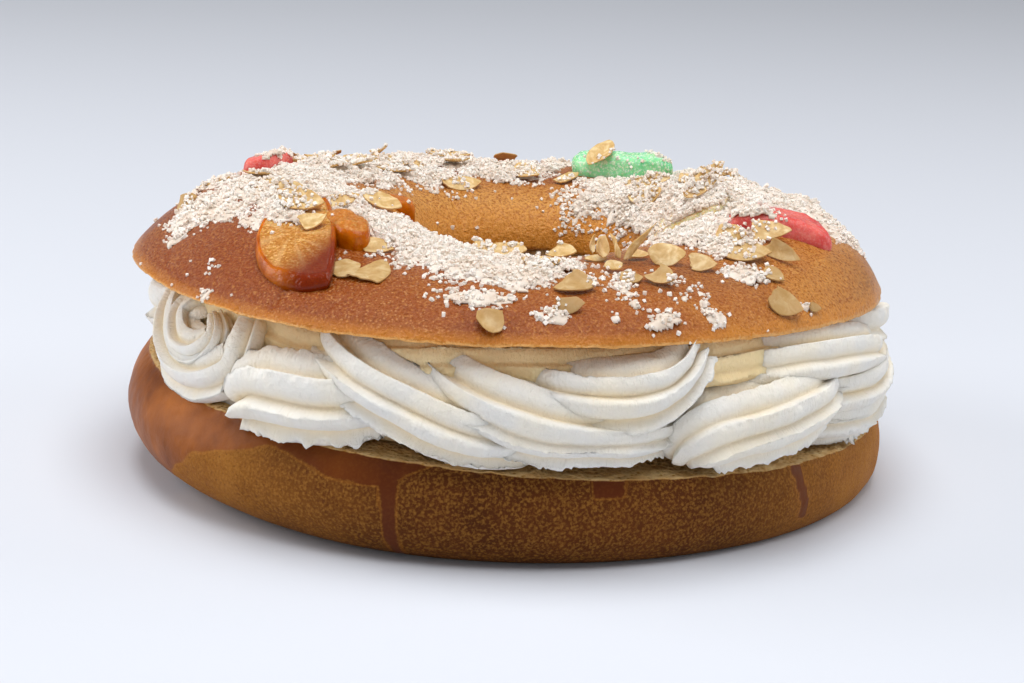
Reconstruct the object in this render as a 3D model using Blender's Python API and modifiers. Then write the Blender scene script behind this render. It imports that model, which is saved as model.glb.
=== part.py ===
"""A ring-shaped festive bun: two halves of sweet bread with piped cream between them and candied fruit on
top. Metres, +Z up. The origin is at the middle of the ring, on the surface that it stands on. Angles run
anticlockwise round the ring from +X, seen from above, and -Y is the front."""

import math

import bmesh
import bpy
from mathutils import Matrix, Vector

MM = 0.001

# Driving dimensions of the bread
LOWER_RADIUS = 106.5 * MM  # widest line of the lower half
LOWER_SHIFT = Vector((1.2 * MM, 2 * MM, 0))  # the halves don't sit quite true on each other
UPPER_RADIUS = 105 * MM  # rim of the upper half
HOLE_RADIUS = 31 * MM
HOLE_SHIFT = 8 * MM  # the hole sits this far towards +X
CUT_HEIGHT = 25.6 * MM  # height of the lower half's cut face at the middle
CUT_SLOPE = -0.062  # the cut rises towards -X
SIDE_HEIGHT = 15 * MM  # height at which the lower half is widest
FOOT_INSET = 12 * MM  # how far the flat foot stops short of the widest line
RIM_INSET = 3.5 * MM  # how far the cut rim stops short of the widest line
LID_HEIGHT = 58.5 * MM  # height of the upper half's cut face
CREST_HEIGHT = 74.5 * MM  # mean height of the upper half's crest
HOLE_DIP = 5 * MM  # the upper half's underside is lower at the hole than at the rim
RING_STEPS = 56  # sections round the ring
ROPE_STEPS = 4  # sections of a rope between two of its stops
CRUST_STEPS = 14  # facets over the crest

# Driving dimensions of the cream
NOZZLE_RADIUS = 10 * MM  # the star opening before a stroke's own size is applied
NOZZLE_RIDGES = 7
NOZZLE_DEPTH = 0.24  # depth of the grooves as a share of the radius
CORE_INNER = 44 * MM
CORE_OUTER = 86 * MM
CORE_FILL = 0.62  # half the core's height as a share of the space between the halves
CREAM_VOXEL = 2.4 * MM
CREAM_SHARE = 0.066  # share of the fine triangles that is kept

# Driving dimensions of the fruit
FRUIT_RINGS = 3  # rings of facets on a piece's top
FRUIT_SIDES = 18
FRUIT_CROWN = 0.28  # how far a piece's top falls at its edge, as a share of its thickness

# Candied pieces: node, middle in x and y, heading, outline, length, width and its last measure, thickness,
# fruit. Millimetres and degrees.
FRUIT_PIECES = [
    ("orange_slice", -58.5, -62, 100, "half round", 50, 17.5, 0.06, 5.5, "orange"),
    ("orange_wedge", -42, -54, -72, "oval", 21, 9, 0.8, 6, "orange"),
    ("orange_piece", -30.5, 3, 20, "oval", 9, 10, 0.8, 5.5, "orange"),
    ("red_strip", 73, -24.5, 0, "oval", 25, 14, 0.7, 4.5, "red"),
    ("red_piece", -70, 25, 60, "oval", 17, 11, 0.8, 3.5, "red"),
    ("pear_slice", 51, 6, 75, "oval", 30, 20, 0.9, 4, "pear"),
    ("green_piece", 32, 61, -20, "oval", 31, 14, 0.8, 4.5, "green"),
]

# Clearances
GAP = 0.4 * MM  # between the cream and the bread
FRUIT_LIFT = 0.7 * MM  # between the fruit and the crust

# Strokes that face the front: stops of angle, radius, height and rope radius, in degrees and millimetres
FRONT_STROKES = {
    "fold": [
        (193, 66, 49, 8), (196, 84, 52, 9), (199, 91, 45, 9.5), (205, 94, 38, 9.4), (212, 94.5, 35.8, 9.2),
        (219, 94.5, 37.5, 9), (224.5, 94, 42, 8.6), (226, 93.5, 47.5, 8), (225.5, 91, 52, 7),
    ],
    "curl": [
        (214, 70, 46, 7), (208, 86, 51, 7.5), (205, 92.5, 47, 7.2), (209, 95.5, 42.5, 6.6),
        (215, 96, 43, 6), (218.5, 95.5, 48, 4.6), (216, 94, 52, 3),
    ],
    "first": [
        (257, 70, 42, 9), (254, 85, 42, 10), (249.5, 93, 40.8, 11.4), (243.5, 97, 39.4, 12.6),
        (238.5, 98, 39, 13), (234, 98, 38.4, 12.6), (230.8, 98.5, 36.6, 11), (228.4, 98.5, 34, 8),
    ],
    "second": [
        (240, 70, 51, 9), (243, 87, 50.5, 10), (247, 94.5, 48.3, 10.8), (252.5, 98, 44.6, 10.8),
        (258.5, 99, 40.2, 10.6), (265, 98.5, 36, 10.4), (271, 95, 34.2, 9.4), (277, 86, 35, 8),
    ],
    "third": [
        (257, 70, 50, 9), (260, 87, 49, 10), (264, 94.5, 46, 10.8), (269.5, 98, 42, 11.2),
        (275.5, 99.5, 38.5, 10.8), (282, 99.5, 36.5, 9.6), (288, 98.5, 35.2, 8.6), (293, 95, 34.5, 7.4),
        (297, 89, 34, 6),
    ],
    "rising": [
        (269, 72, 47, 8), (273, 88, 46, 9.2), (278.5, 95.5, 45, 10.2), (284, 98.5, 44.5, 10.8),
        (289, 99.5, 45, 10.8), (293.5, 100, 47.5, 9.6), (296.5, 100, 51, 7.8), (298, 99.5, 54, 6.2),
    ],
    "knob": [
        (296, 70, 38, 7), (296, 84, 36.5, 7.6), (296.5, 90, 34.5, 7.4), (298, 93.5, 32.5, 6),
        (300, 94.5, 31, 4),
    ],
    "rolled": [
        (300, 94.5, 27.5, 6), (300, 96.5, 31, 9.4), (302, 99, 34, 11.4), (306.5, 100, 35.3, 11.8),
        (312, 100.8, 36.2, 11.8), (318, 101.2, 37.2, 11.2), (323, 100, 38, 9.8), (327, 97, 38.5, 7.6),
    ],
    "shoulder": [
        (304, 72, 49, 8.4), (308, 88, 48.5, 9.4), (313.5, 95, 48.5, 10), (320, 98, 48.5, 10),
        (327, 99.5, 47.5, 10), (334, 100.5, 45.5, 9.6), (340.5, 101, 43, 8.8), (346, 100.5, 40.5, 7),
    ],
    "hip": [
        (321, 86, 40, 8), (325, 93.5, 38, 9.4), (330.5, 98.5, 37, 10.2), (337, 101, 36.5, 10.2),
        (344, 101.5, 37, 9.4), (350.5, 100.5, 38, 7.6), (355, 98, 39, 5.4),
    ],
    "heel": [
        (322, 86, 31.5, 7.5), (328, 94.5, 30.2, 8.6), (336, 99.5, 29.4, 9), (345, 101, 29.8, 8.4),
        (352, 99.5, 31, 6.6),
    ],
    "far": [
        (334, 72, 50, 8), (341, 88, 49, 9.4), (350, 95, 47.5, 10.4), (360, 97.5, 44.5, 10.8),
        (369, 97.5, 40.5, 10.2), (376, 95, 37, 8),
    ],
    "toe": [
        (349, 86, 31, 7.5), (354, 94, 29.4, 8.6), (361, 98.3, 28.2, 9.2), (369, 99.2, 28, 9),
        (377, 98, 29, 7),
    ],
    "behind": [
        (160, 72, 44, 8), (164, 86, 43, 9.5), (170, 90.5, 42, 10.8), (178, 91, 42, 11.2),
        (186, 90, 43, 10.5), (192, 86, 45, 8),
    ],
}
BACK_SPAN = (14, 160)  # the strokes round the back lie between these angles
BACK_STROKES = 10
BACK_SIZE = 12.8


def material(name, colour, roughness):
    """A plain Principled material; colour is linear red, green, blue."""
    result = bpy.data.materials.new(name)
    result.use_nodes = True
    shader = result.node_tree.nodes["Principled BSDF"]
    shader.inputs["Base Color"].default_value = (*colour, 1)
    shader.inputs["Roughness"].default_value = roughness
    shader.inputs["Metallic"].default_value = 0
    return result


def collection(name):
    """A collection in the scene."""
    result = bpy.data.collections.new(name)
    bpy.context.scene.collection.children.link(result)
    return result


def add_mesh(name, mesh, group, finish):
    """Turns a bmesh into a smooth-shaded object in a collection, with its faces pointing out."""
    bmesh.ops.recalc_face_normals(mesh, faces=mesh.faces)
    if mesh.calc_volume(signed=True) < 0:
        bmesh.ops.reverse_faces(mesh, faces=mesh.faces)
    data = bpy.data.meshes.new(name)
    mesh.to_mesh(data)
    mesh.free()
    data.materials.append(finish)
    data.shade_smooth()
    data.set_sharp_from_angle(angle=math.radians(50))
    result = bpy.data.objects.new(name, data)
    group.objects.link(result)
    return result


def mark_cutter(obj):
    """A cutter or guide isn't part of the object."""
    obj.hide_render = True
    obj.display_type = "WIRE"


# ---------------------------------------------------------------- bread


def lower_radius(angle):
    """Widest radius of the hand-shaped lower half: drawn out towards the front left."""
    return LOWER_RADIUS * (1 + 0.022 * math.sin(2 * angle))


def near(angle, middle, sharpness):
    """1 at an angle in degrees, falling to 0 a quarter turn away, sooner for a greater sharpness."""
    return max(0, math.cos(angle - math.radians(middle))) ** sharpness


def upper_radius(angle):
    """Rim radius of the upper half: a blunt corner at the front right, flatter beside it."""
    wave = 1 + 0.004 * math.sin(3 * angle) + 0.008 * math.sin(2 * angle)
    return UPPER_RADIUS * wave + 1.8 * MM * near(angle, -24, 20) - 2.5 * MM * near(angle, 2, 40)


def hole_radius(angle):
    """Radius of the off-centre hole."""
    return HOLE_RADIUS + HOLE_SHIFT * math.cos(angle) + 1 * MM * math.sin(3 * angle)


def cut_height(x):
    """Height of the lower half's sloping cut face."""
    return CUT_HEIGHT + CUT_SLOPE * x


def lid_height(angle):
    """Height of the upper half's cut face: the bread sags a little at both sides, most at the right."""
    sag = 1 * MM * math.cos(2 * angle) + 1.1 * MM * near(angle, -10, 6)
    return LID_HEIGHT - sag + 2 * MM * near(angle, 200, 8)


def crest_height(angle):
    """Height of the upper half's crest: fullest at the sides and at the back left."""
    return CREST_HEIGHT + 2.5 * MM * math.cos(2 * angle) + 1.6 * MM * math.cos(angle - math.radians(175))


def lid_under(angle, across):
    """Height of the upper half's underside: it dips to the hole. across runs from -1 at the hole to 1."""
    return lid_height(angle) - HOLE_DIP * max(0, -across) ** 2


def crust_height(x, y):
    """Height of the upper crust over a place: falls straight to its rim outside, rounder at the hole."""
    angle = math.atan2(y, x)
    inner, outer = hole_radius(angle), upper_radius(angle)
    across = (2 * math.hypot(x, y) - inner - outer) / (outer - inner)
    across = max(-1, min(1, across))
    steepness = 1.3 + 0.45 * near(angle, 190, 2) if across > 0 else 0.8
    bulge = math.sqrt(1 - across * across) ** steepness
    low = lid_under(angle, across)
    return low + bulge * (crest_height(angle) - low)


def spun_ring(name, profile, place, group, finish):
    """A closed section spun round Z, with every corner then set by place(*corner, angle)."""
    mesh = bmesh.new()
    count = len(profile)
    corners = []
    for index in range(count):
        turn = 2 * math.pi * index / count
        corners.append(mesh.verts.new((2 + math.cos(turn), 0, math.sin(turn))))
    edges = [mesh.edges.new(pair) for pair in zip(corners, corners[1:] + corners[:1])]
    bmesh.ops.spin(mesh, geom=corners + edges, axis=(0, 0, 1), cent=(0, 0, 0),
                   angle=2 * math.pi, steps=RING_STEPS, use_merge=True)
    bmesh.ops.remove_doubles(mesh, verts=mesh.verts, dist=1e-5)
    for vert in mesh.verts:
        angle = math.atan2(vert.co.y, vert.co.x)
        turn = math.atan2(vert.co.z, math.hypot(vert.co.x, vert.co.y) - 2)
        corner = profile[round(turn / (2 * math.pi) * count) % count]
        vert.co = place(*corner, angle)
    return add_mesh(name, mesh, group, finish)


def lower_half(name, group, finish):
    """Lower half of the bread: flat foot, round flanks, sloping cut face."""
    rise = SIDE_HEIGHT / CUT_HEIGHT
    rim = RIM_INSET / FOOT_INSET
    flank = []  # inset as a share of the foot's, height as a share of the cut's
    for step in range(5):
        turn = math.radians(22.5 * step)
        flank.append((math.sin(turn) - 1, rise * (1 - math.cos(turn))))
    for share in (0.33, 0.67, 1):
        flank.append((-rim * share ** 2, rise + (1 - rise) * share))
    profile = [(1, inset, up) for inset, up in flank] + [(0.4, 0, 1), (-0.3, 0, 1)]
    profile += [(-1, inset, up) for inset, up in reversed(flank)] + [(0, 0, 0)]

    def place(side, inset, up, angle):
        inner, outer = hole_radius(angle), lower_radius(angle)
        tuck = FOOT_INSET * (1 - 0.55 * math.cos(angle) + 0.55 * near(angle, 218, 10))
        radius = (inner + outer) / 2 + side * ((outer - inner) / 2 + inset * tuck)
        x = radius * math.cos(angle)
        return Vector((x, radius * math.sin(angle), up * cut_height(x))) + LOWER_SHIFT

    return spun_ring(name, profile, place, group, finish)


def upper_half(name, group, finish):
    """Upper half of the bread: a dome over a flat cut face. Its section runs from rim to hole and back."""
    profile = [(1, -math.cos(math.pi * step / CRUST_STEPS)) for step in range(CRUST_STEPS + 1)]
    profile += [(0, 0.5), (0, 0), (0, -0.5)]

    def place(crust, inward, angle):
        inner, outer = hole_radius(angle), upper_radius(angle)
        radius = (inner + outer) / 2 - inward * (outer - inner) / 2
        x, y = radius * math.cos(angle), radius * math.sin(angle)
        return Vector((x, y, crust_height(x, y) if crust else lid_under(angle, -inward)))

    return spun_ring(name, profile, place, group, finish)


# ---------------------------------------------------------------- cream


def ring_point(angle, radius, height):
    """A point from its ring angle in degrees, its radius and its height."""
    turn = math.radians(angle)
    return Vector((radius * math.cos(turn), radius * math.sin(turn), height))


def smooth_route(stops, steps):
    """Catmull-Rom curve through stops of (point, rope size); returns the finer list."""
    route = []
    ends = [stops[0]] + stops + [stops[-1]]
    for a, b, c, d in zip(ends, ends[1:], ends[2:], ends[3:]):
        for step in range(steps):
            t = step / steps
            weights = (
                (-t + 2 * t ** 2 - t ** 3) / 2,
                (2 - 5 * t ** 2 + 3 * t ** 3) / 2,
                (t + 4 * t ** 2 - 3 * t ** 3) / 2,
                (-t ** 2 + t ** 3) / 2,
            )
            point = sum((w * stop[0] for w, stop in zip(weights, (a, b, c, d))), Vector())
            size = sum(w * stop[1] for w, stop in zip(weights, (a, b, c, d)))
            route.append((point, size))
    route.append(stops[-1])
    return route


def star_guide(group):
    """The star nozzle's opening, as a flat closed curve."""
    data = bpy.data.curves.new("nozzle", "CURVE")
    spline = data.splines.new("POLY")
    count = 4 * NOZZLE_RIDGES
    spline.points.add(count - 1)
    for index, point in enumerate(spline.points):
        turn = 2 * math.pi * index / count
        groove = 0.5 - 0.5 * math.cos(NOZZLE_RIDGES * turn)
        radius = NOZZLE_RADIUS * (1 - NOZZLE_DEPTH * groove)
        point.co = (radius * math.cos(turn), radius * math.sin(turn), 0, 1)
    spline.use_cyclic_u = True
    result = bpy.data.objects.new("nozzle", data)
    group.objects.link(result)
    mark_cutter(result)
    return result


def rope(stops, nozzle):
    """A rope of cream along its stops of angle, radius, height and rope radius, as a mesh."""
    data = bpy.data.curves.new("rope", "CURVE")
    data.dimensions = "3D"
    data.bevel_mode = "OBJECT"
    data.bevel_object = nozzle
    data.use_fill_caps = True
    spline = data.splines.new("POLY")
    places = []
    for angle, out, up, size in stops:
        places.append((ring_point(angle, out * MM, up * MM), size * MM / NOZZLE_RADIUS))
    route = smooth_route(places, ROPE_STEPS)
    spline.points.add(len(route) - 1)
    for point, (place, size) in zip(spline.points, route):
        point.co = (*place, 1)
        point.radius = size
    holder = bpy.data.objects.new("rope", data)
    bpy.context.scene.collection.objects.link(holder)
    bpy.context.view_layer.update()
    found = holder.evaluated_get(bpy.context.evaluated_depsgraph_get())
    mesh = bpy.data.meshes.new_from_object(found)
    bpy.data.objects.remove(holder)
    return mesh


def back_stroke(angle, lean):
    """A stroke of the back: out of the middle, round the outside and back under the next one. It hangs lower
    towards +X, where the cut falls away."""
    deeper = max(0, math.cos(math.radians(angle)))
    size = BACK_SIZE + 2 * deeper
    height = 40 - 3 * deeper
    return [
        (angle - 13, 70, height + 3, size * 0.8), (angle - 11, 86, height + 2 - lean * 3, size * 0.92),
        (angle - 6, 93.5, height - lean * 2, size), (angle + 1, 96, height + lean, size),
        (angle + 8, 95.5, height + lean * 4, size * 0.92), (angle + 13, 90, height + lean * 6, size * 0.75),
    ]


def cream_core(group, finish):
    """The body of cream that the strokes lie on."""
    profile = [(math.cos(turn), math.sin(turn)) for turn in (2 * math.pi * step / 10 for step in range(10))]

    def place(across, up, angle):
        radius = (CORE_INNER + CORE_OUTER) / 2 + across * (CORE_OUTER - CORE_INNER) / 2
        x = radius * math.cos(angle)
        low, high = cut_height(x), lid_height(angle)
        return Vector((x, radius * math.sin(angle), (low + high) / 2 + up * CORE_FILL * (high - low)))

    return spun_ring("cream", profile, place, group, finish)


def join_mesh(target, mesh):
    """Adds another mesh's faces to an object."""
    joined = bmesh.new()
    joined.from_mesh(target.data)
    joined.from_mesh(mesh)
    bmesh.ops.remove_doubles(joined, verts=joined.verts, dist=1e-6)
    bmesh.ops.recalc_face_normals(joined, faces=joined.faces)
    joined.to_mesh(target.data)
    joined.free()
    bpy.data.meshes.remove(mesh)


def settle(obj):
    """Replaces an object's mesh with what its modifiers make of it."""
    bpy.context.view_layer.update()
    found = obj.evaluated_get(bpy.context.evaluated_depsgraph_get())
    mesh = bpy.data.meshes.new_from_object(found)
    obj.modifiers.clear()
    old = obj.data
    obj.data = mesh
    bpy.data.meshes.remove(old)


def cut_by(obj, cutter):
    """Takes a neighbour's space, grown by the clearance, out of an object."""
    grown = bpy.data.objects.new(cutter.name + "_space", cutter.data.copy())
    cutter_group = bpy.data.collections["cutters"]
    cutter_group.objects.link(grown)
    mark_cutter(grown)
    swell = grown.modifiers.new("clearance", "DISPLACE")
    swell.strength = GAP
    swell.mid_level = 0
    cut = obj.modifiers.new("cut", "BOOLEAN")
    cut.operation = "DIFFERENCE"
    cut.solver = "EXACT"
    cut.object = grown


def keep_largest(obj):
    """Drops crumbs that a cut may leave loose."""
    mesh = bmesh.new()
    mesh.from_mesh(obj.data)
    bmesh.ops.remove_doubles(mesh, verts=mesh.verts, dist=1e-6)
    left = set(mesh.verts)
    islands = []
    while left:
        reached = [left.pop()]
        island = set(reached)
        while reached:
            vert = reached.pop()
            for edge in vert.link_edges:
                other = edge.other_vert(vert)
                if other not in island:
                    island.add(other)
                    left.discard(other)
                    reached.append(other)
        islands.append(island)
    islands.sort(key=len)
    for island in islands[:-1]:
        bmesh.ops.delete(mesh, geom=list(island), context="VERTS")
    bmesh.ops.triangulate(mesh, faces=mesh.faces)
    mesh.to_mesh(obj.data)
    mesh.free()


def cream(group, guides, finish, neighbours):
    """The piped layer: a core with star-nozzle strokes laid round it, fused and cut clear of the bread."""
    nozzle = star_guide(guides)
    body = cream_core(group, finish)
    strokes = list(FRONT_STROKES.values())
    first, last = BACK_SPAN
    for index in range(BACK_STROKES):
        angle = first + (last - first) * (index + 0.5) / BACK_STROKES
        strokes.append(back_stroke(angle, -1 if index % 3 == 1 else 0.8))
    for stops in strokes:
        join_mesh(body, rope(stops, nozzle))
    fuse = body.modifiers.new("fuse", "REMESH")
    fuse.mode = "VOXEL"
    fuse.voxel_size = CREAM_VOXEL
    thin = body.modifiers.new("thin", "DECIMATE")
    thin.ratio = CREAM_SHARE
    settle(body)
    for neighbour in neighbours:
        cut_by(body, neighbour)
    settle(body)
    keep_largest(body)
    body.data.shade_smooth()
    return body


# ---------------------------------------------------------------- candied fruit


def fruit(name, spot, heading, outline, thickness, group, finish):
    """A slab of fruit bent over the crust. outline(turn) gives its edge in metres; heading turns it."""
    mesh = bmesh.new()
    bmesh.ops.create_cone(mesh, cap_ends=True, segments=FRUIT_SIDES, radius1=1, radius2=1, depth=1)
    caps = [face for face in mesh.faces if len(face.verts) == FRUIT_SIDES]
    for face in caps:
        for _ in range(FRUIT_RINGS - 1):
            bmesh.ops.inset_individual(mesh, faces=[face], thickness=0.9 / FRUIT_RINGS)
        bmesh.ops.poke(mesh, faces=[face])
    spin = Matrix.Rotation(math.radians(heading), 3, "Z")
    for vert in mesh.verts:
        reach = math.hypot(vert.co.x, vert.co.y)
        edge = outline(math.atan2(vert.co.y, vert.co.x))
        flat = spin @ Vector((edge[0] * reach, edge[1] * reach, 0))
        x, y = spot[0] + flat.x, spot[1] + flat.y
        base = crust_height(x, y) + FRUIT_LIFT
        crown = thickness * (1 - FRUIT_CROWN * reach ** 4)
        vert.co = Vector((x, y, base + (crown if vert.co.z > 0 else 0)))
    return add_mesh(name, mesh, group, finish)


def oval(length, width, square):
    """Outline of a rounded piece; square below 1 makes it boxier."""
    def outline(turn):
        c, s = math.cos(turn), math.sin(turn)
        return (
            math.copysign(abs(c) ** square, c) * length / 2,
            math.copysign(abs(s) ** square, s) * width / 2,
        )
    return outline


def half_round(length, width, bow):
    """Outline of a half slice: the round rind towards +Y, the cut side bowed out by a share of the width."""
    def outline(turn):
        c, s = math.cos(turn), math.sin(turn)
        return (c * length / 2, (max(s, 0) - 0.5 + bow * min(s, 0)) * width)
    return outline


def centre_parts(group):
    """Moves every piece so that the whole object's box is centred on the origin."""
    corners = [vert.co for obj in group.objects for vert in obj.data.vertices]
    for axis in (0, 1):
        values = [corner[axis] for corner in corners]
        middle = (min(values) + max(values)) / 2
        for obj in group.objects:
            obj.data.transform(Matrix.Translation([-middle if index == axis else 0 for index in range(3)]))


def main():
    for obj in list(bpy.data.objects):
        bpy.data.objects.remove(obj)
    parts = collection("festive_ring_bun")
    guides = collection("cutters")

    crust = material("baked_crust", (0.36, 0.13, 0.035), 0.45)
    whipped = material("whipped_cream", (0.86, 0.83, 0.74), 0.5)
    syrup = {
        "orange": material("candied_orange", (0.75, 0.24, 0.02), 0.25),
        "red": material("candied_red_fruit", (0.6, 0.02, 0.02), 0.25),
        "green": material("candied_green_fruit", (0.02, 0.35, 0.08), 0.25),
        "pear": material("candied_pear", (0.85, 0.68, 0.3), 0.3),
    }

    lower = lower_half("bun_lower", parts, crust)
    upper = upper_half("bun_upper", parts, crust)
    cream(parts, guides, whipped, (lower, upper))

    outlines = {"half round": half_round, "oval": oval}
    for name, x, y, heading, shape, length, width, last, thickness, kind in FRUIT_PIECES:
        outline = outlines[shape](length * MM, width * MM, last)
        fruit(name, (x * MM, y * MM), heading, outline, thickness * MM, parts, syrup[kind])
    centre_parts(parts)


main()
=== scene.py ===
"""Looks of a festive ring bun: sweet bread cut level, piped whipped cream between the halves, candied fruit,
flaked almonds and coarse sugar on top. Metres, +Z up, -Y at the front, angles anticlockwise from +X."""

import math
import random
from functools import partial
from itertools import product

import bpy
import numpy as np
from mathutils import Matrix, Vector
from mathutils.bvhtree import BVHTree


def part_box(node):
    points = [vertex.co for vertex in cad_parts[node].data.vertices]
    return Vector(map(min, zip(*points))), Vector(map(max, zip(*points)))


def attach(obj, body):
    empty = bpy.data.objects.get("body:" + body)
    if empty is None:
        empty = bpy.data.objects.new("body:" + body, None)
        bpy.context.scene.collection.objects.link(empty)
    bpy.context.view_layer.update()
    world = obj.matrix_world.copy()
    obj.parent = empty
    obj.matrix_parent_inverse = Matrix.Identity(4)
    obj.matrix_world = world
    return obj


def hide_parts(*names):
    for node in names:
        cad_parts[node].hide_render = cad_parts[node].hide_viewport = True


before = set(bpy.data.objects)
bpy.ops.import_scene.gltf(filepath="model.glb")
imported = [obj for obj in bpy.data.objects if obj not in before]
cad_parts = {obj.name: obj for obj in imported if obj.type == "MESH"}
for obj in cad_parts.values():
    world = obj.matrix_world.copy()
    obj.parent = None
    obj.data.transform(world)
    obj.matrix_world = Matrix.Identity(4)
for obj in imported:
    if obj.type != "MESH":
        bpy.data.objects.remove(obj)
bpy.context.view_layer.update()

bl_info = {
    "name": "Festive Ring Bun",
    "version": (1, 0, 0),
    "blender": (4, 5, 0),
    "location": "3D View > Sidebar > Ring Bun",
    "description": "Dresses a cream-filled ring bun with crust, piped cream, fruit, almonds and sugar",
    "category": "Add Mesh",
}

MM = 0.001
LOWER_LOW, LOWER_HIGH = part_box("bun_lower")
UPPER_LOW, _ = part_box("bun_upper")

# The bread's shape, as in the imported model
LOWER_SHIFT = Vector((1.2 * MM, 2 * MM, 0))
MIDDLE = (LOWER_LOW + LOWER_HIGH) / 2 - LOWER_SHIFT
LOWER_RADIUS = (LOWER_HIGH.x - LOWER_LOW.x) / 2
UPPER_RADIUS = LOWER_RADIUS - 1.5 * MM
HOLE_RADIUS = 31 * MM
HOLE_SHIFT = 8 * MM
CUT_HEIGHT = 25.6 * MM
CUT_SLOPE = -0.062
SIDE_HEIGHT = 15 * MM
FOOT_INSET = 12 * MM
RIM_INSET = 3.5 * MM
LID_HEIGHT = 58.5 * MM
CREST_HEIGHT = 74.5 * MM
HOLE_DIP = 5 * MM


# ---------------------------------------------------------------- helpers


def linear(code):
    """An sRGB hex colour as linear red, green, blue, alpha."""
    values = []
    for start in (1, 3, 5):
        share = int(code[start:start + 2], 16) / 255
        values.append(share / 12.92 if share <= 0.04045 else ((share + 0.055) / 1.055) ** 2.4)
    return (*values, 1.0)


def lumps(points, size, seed=0):
    """Smooth noise from -1 to 1 over points, with lumps of a size in metres."""
    grid = np.asarray(points) / size + 64.37
    cell = np.floor(grid).astype(np.int64)
    part = grid - cell
    part = part * part * (3 - 2 * part)
    total = np.zeros(len(grid))
    for corner in product((0, 1), repeat=3):
        spot = cell + corner
        mixed = spot[:, 0] * 374761393 + spot[:, 1] * 668265263 + spot[:, 2] * 1442695041 + seed * 1274126177
        mixed = (mixed ^ (mixed >> 13)) & 0xFFFFFFFF
        mixed = (mixed * 1274126177) & 0xFFFFFFFF
        value = ((mixed ^ (mixed >> 16)) & 0xFFFF) / 32767.5 - 1
        weight = np.ones(len(grid))
        for axis in range(3):
            weight *= part[:, axis] if corner[axis] else 1 - part[:, axis]
        total += value * weight
    return total


def bumps(points, *layers):
    """Unevenness in metres from layers of lumps: their height and size in mm, and a seed, for each layer."""
    return sum(height * MM * lumps(points, size * MM, seed) for height, size, seed in layers)


def flat_places(x, y):
    """Rows of X, Y and 0 for grids of X and Y."""
    return np.stack([x, y, 0 * x], axis=-1).reshape(-1, 3)


def build(name, points, faces, finish, smooth=True):
    """An object from points and faces, linked to the scene, with one material."""
    data = bpy.data.meshes.new(name)
    data.from_pydata([tuple(point) for point in points], [], [tuple(face) for face in faces])
    data.update()
    data.materials.append(finish)
    if smooth:
        data.shade_smooth()
    obj = bpy.data.objects.new(name, data)
    bpy.context.scene.collection.objects.link(obj)
    return obj


def store(obj, name, values):
    """Keeps one number for each point, for the material to read."""
    layer = obj.data.attributes.new(name, "FLOAT", "POINT")
    layer.data.foreach_set("value", np.asarray(values, dtype=np.float32))


def sheet_faces(rows, columns, wrap_rows, wrap_columns):
    """Quads of a grid of points, row by row, closed round either way."""
    row = np.arange(rows if wrap_rows else rows - 1)
    column = np.arange(columns if wrap_columns else columns - 1)
    r, c = np.meshgrid(row, column, indexing="ij")
    r2, c2 = (r + 1) % rows, (c + 1) % columns
    quads = np.stack([r * columns + c, r2 * columns + c, r2 * columns + c2, r * columns + c2], axis=-1)
    return quads.reshape(-1, 4)


def tube_faces(rows, columns):
    """Faces of rings of points, row by row, closed at each end onto one of two points that follow."""
    total = rows * columns
    faces = [tuple(face) for face in sheet_faces(rows, columns, False, True)]
    for here in range(columns):
        after = (here + 1) % columns
        faces.append((total, here, after))
        faces.append((total + 1, total - columns + after, total - columns + here))
    return faces


def outward(obj):
    """Turns a closed mesh's faces outwards."""
    data = obj.data
    points = np.empty(len(data.vertices) * 3)
    data.vertices.foreach_get("co", points)
    points = points.reshape(-1, 3)
    data.calc_loop_triangles()
    corners = np.empty(len(data.loop_triangles) * 3, dtype=np.int32)
    data.loop_triangles.foreach_get("vertices", corners)
    a, b, c = points[corners.reshape(-1, 3)].transpose(1, 0, 2)
    if np.einsum("ij,ij->", a, np.cross(b, c)) < 0:
        data.flip_normals()
    return obj


# ---------------------------------------------------------------- shape of the bread


def lower_radius(angle):
    """Widest radius of the lower half."""
    return LOWER_RADIUS * (1 + 0.022 * np.sin(2 * angle))


def near(angle, middle, sharpness):
    """1 at an angle in degrees, falling to 0 a quarter turn away, sooner for a greater sharpness."""
    return np.maximum(0, np.cos(angle - math.radians(middle))) ** sharpness


def upper_radius(angle):
    """Rim radius of the upper half: a blunt corner at the front right, flatter beside it."""
    wave = 1 + 0.004 * np.sin(3 * angle) + 0.008 * np.sin(2 * angle)
    return UPPER_RADIUS * wave + 1.8 * MM * near(angle, -24, 20) - 2.5 * MM * near(angle, 2, 40)


def hole_radius(angle):
    """Radius of the off-centre hole."""
    return HOLE_RADIUS + HOLE_SHIFT * np.cos(angle) + 1 * MM * np.sin(3 * angle)


def cut_height(x):
    """Height of the lower half's sloping cut face."""
    return CUT_HEIGHT + CUT_SLOPE * x


def lid_height(angle):
    """Height of the upper half's cut face."""
    sag = 1 * MM * np.cos(2 * angle) + 1.1 * MM * near(angle, -10, 6)
    return LID_HEIGHT - sag + 2 * MM * near(angle, 200, 8)


def lid_under(angle, across):
    """Height of the upper half's underside: it dips to the hole."""
    return lid_height(angle) - HOLE_DIP * np.maximum(0, -across) ** 2


def crust_height(x, y):
    """Height of the upper crust over places round the ring's middle."""
    angle = np.arctan2(y, x)
    inner, outer = hole_radius(angle), upper_radius(angle)
    across = np.clip((2 * np.hypot(x, y) - inner - outer) / (outer - inner), -1, 1)
    bulge = np.sqrt(1 - across * across) ** np.where(across > 0, 1.3 + 0.45 * near(angle, 190, 2), 0.8)
    crest = CREST_HEIGHT + 2.5 * MM * np.cos(2 * angle) + 1.6 * MM * np.cos(angle - math.radians(175))
    low = lid_under(angle, across)
    return low + bulge * (crest - low)


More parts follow.
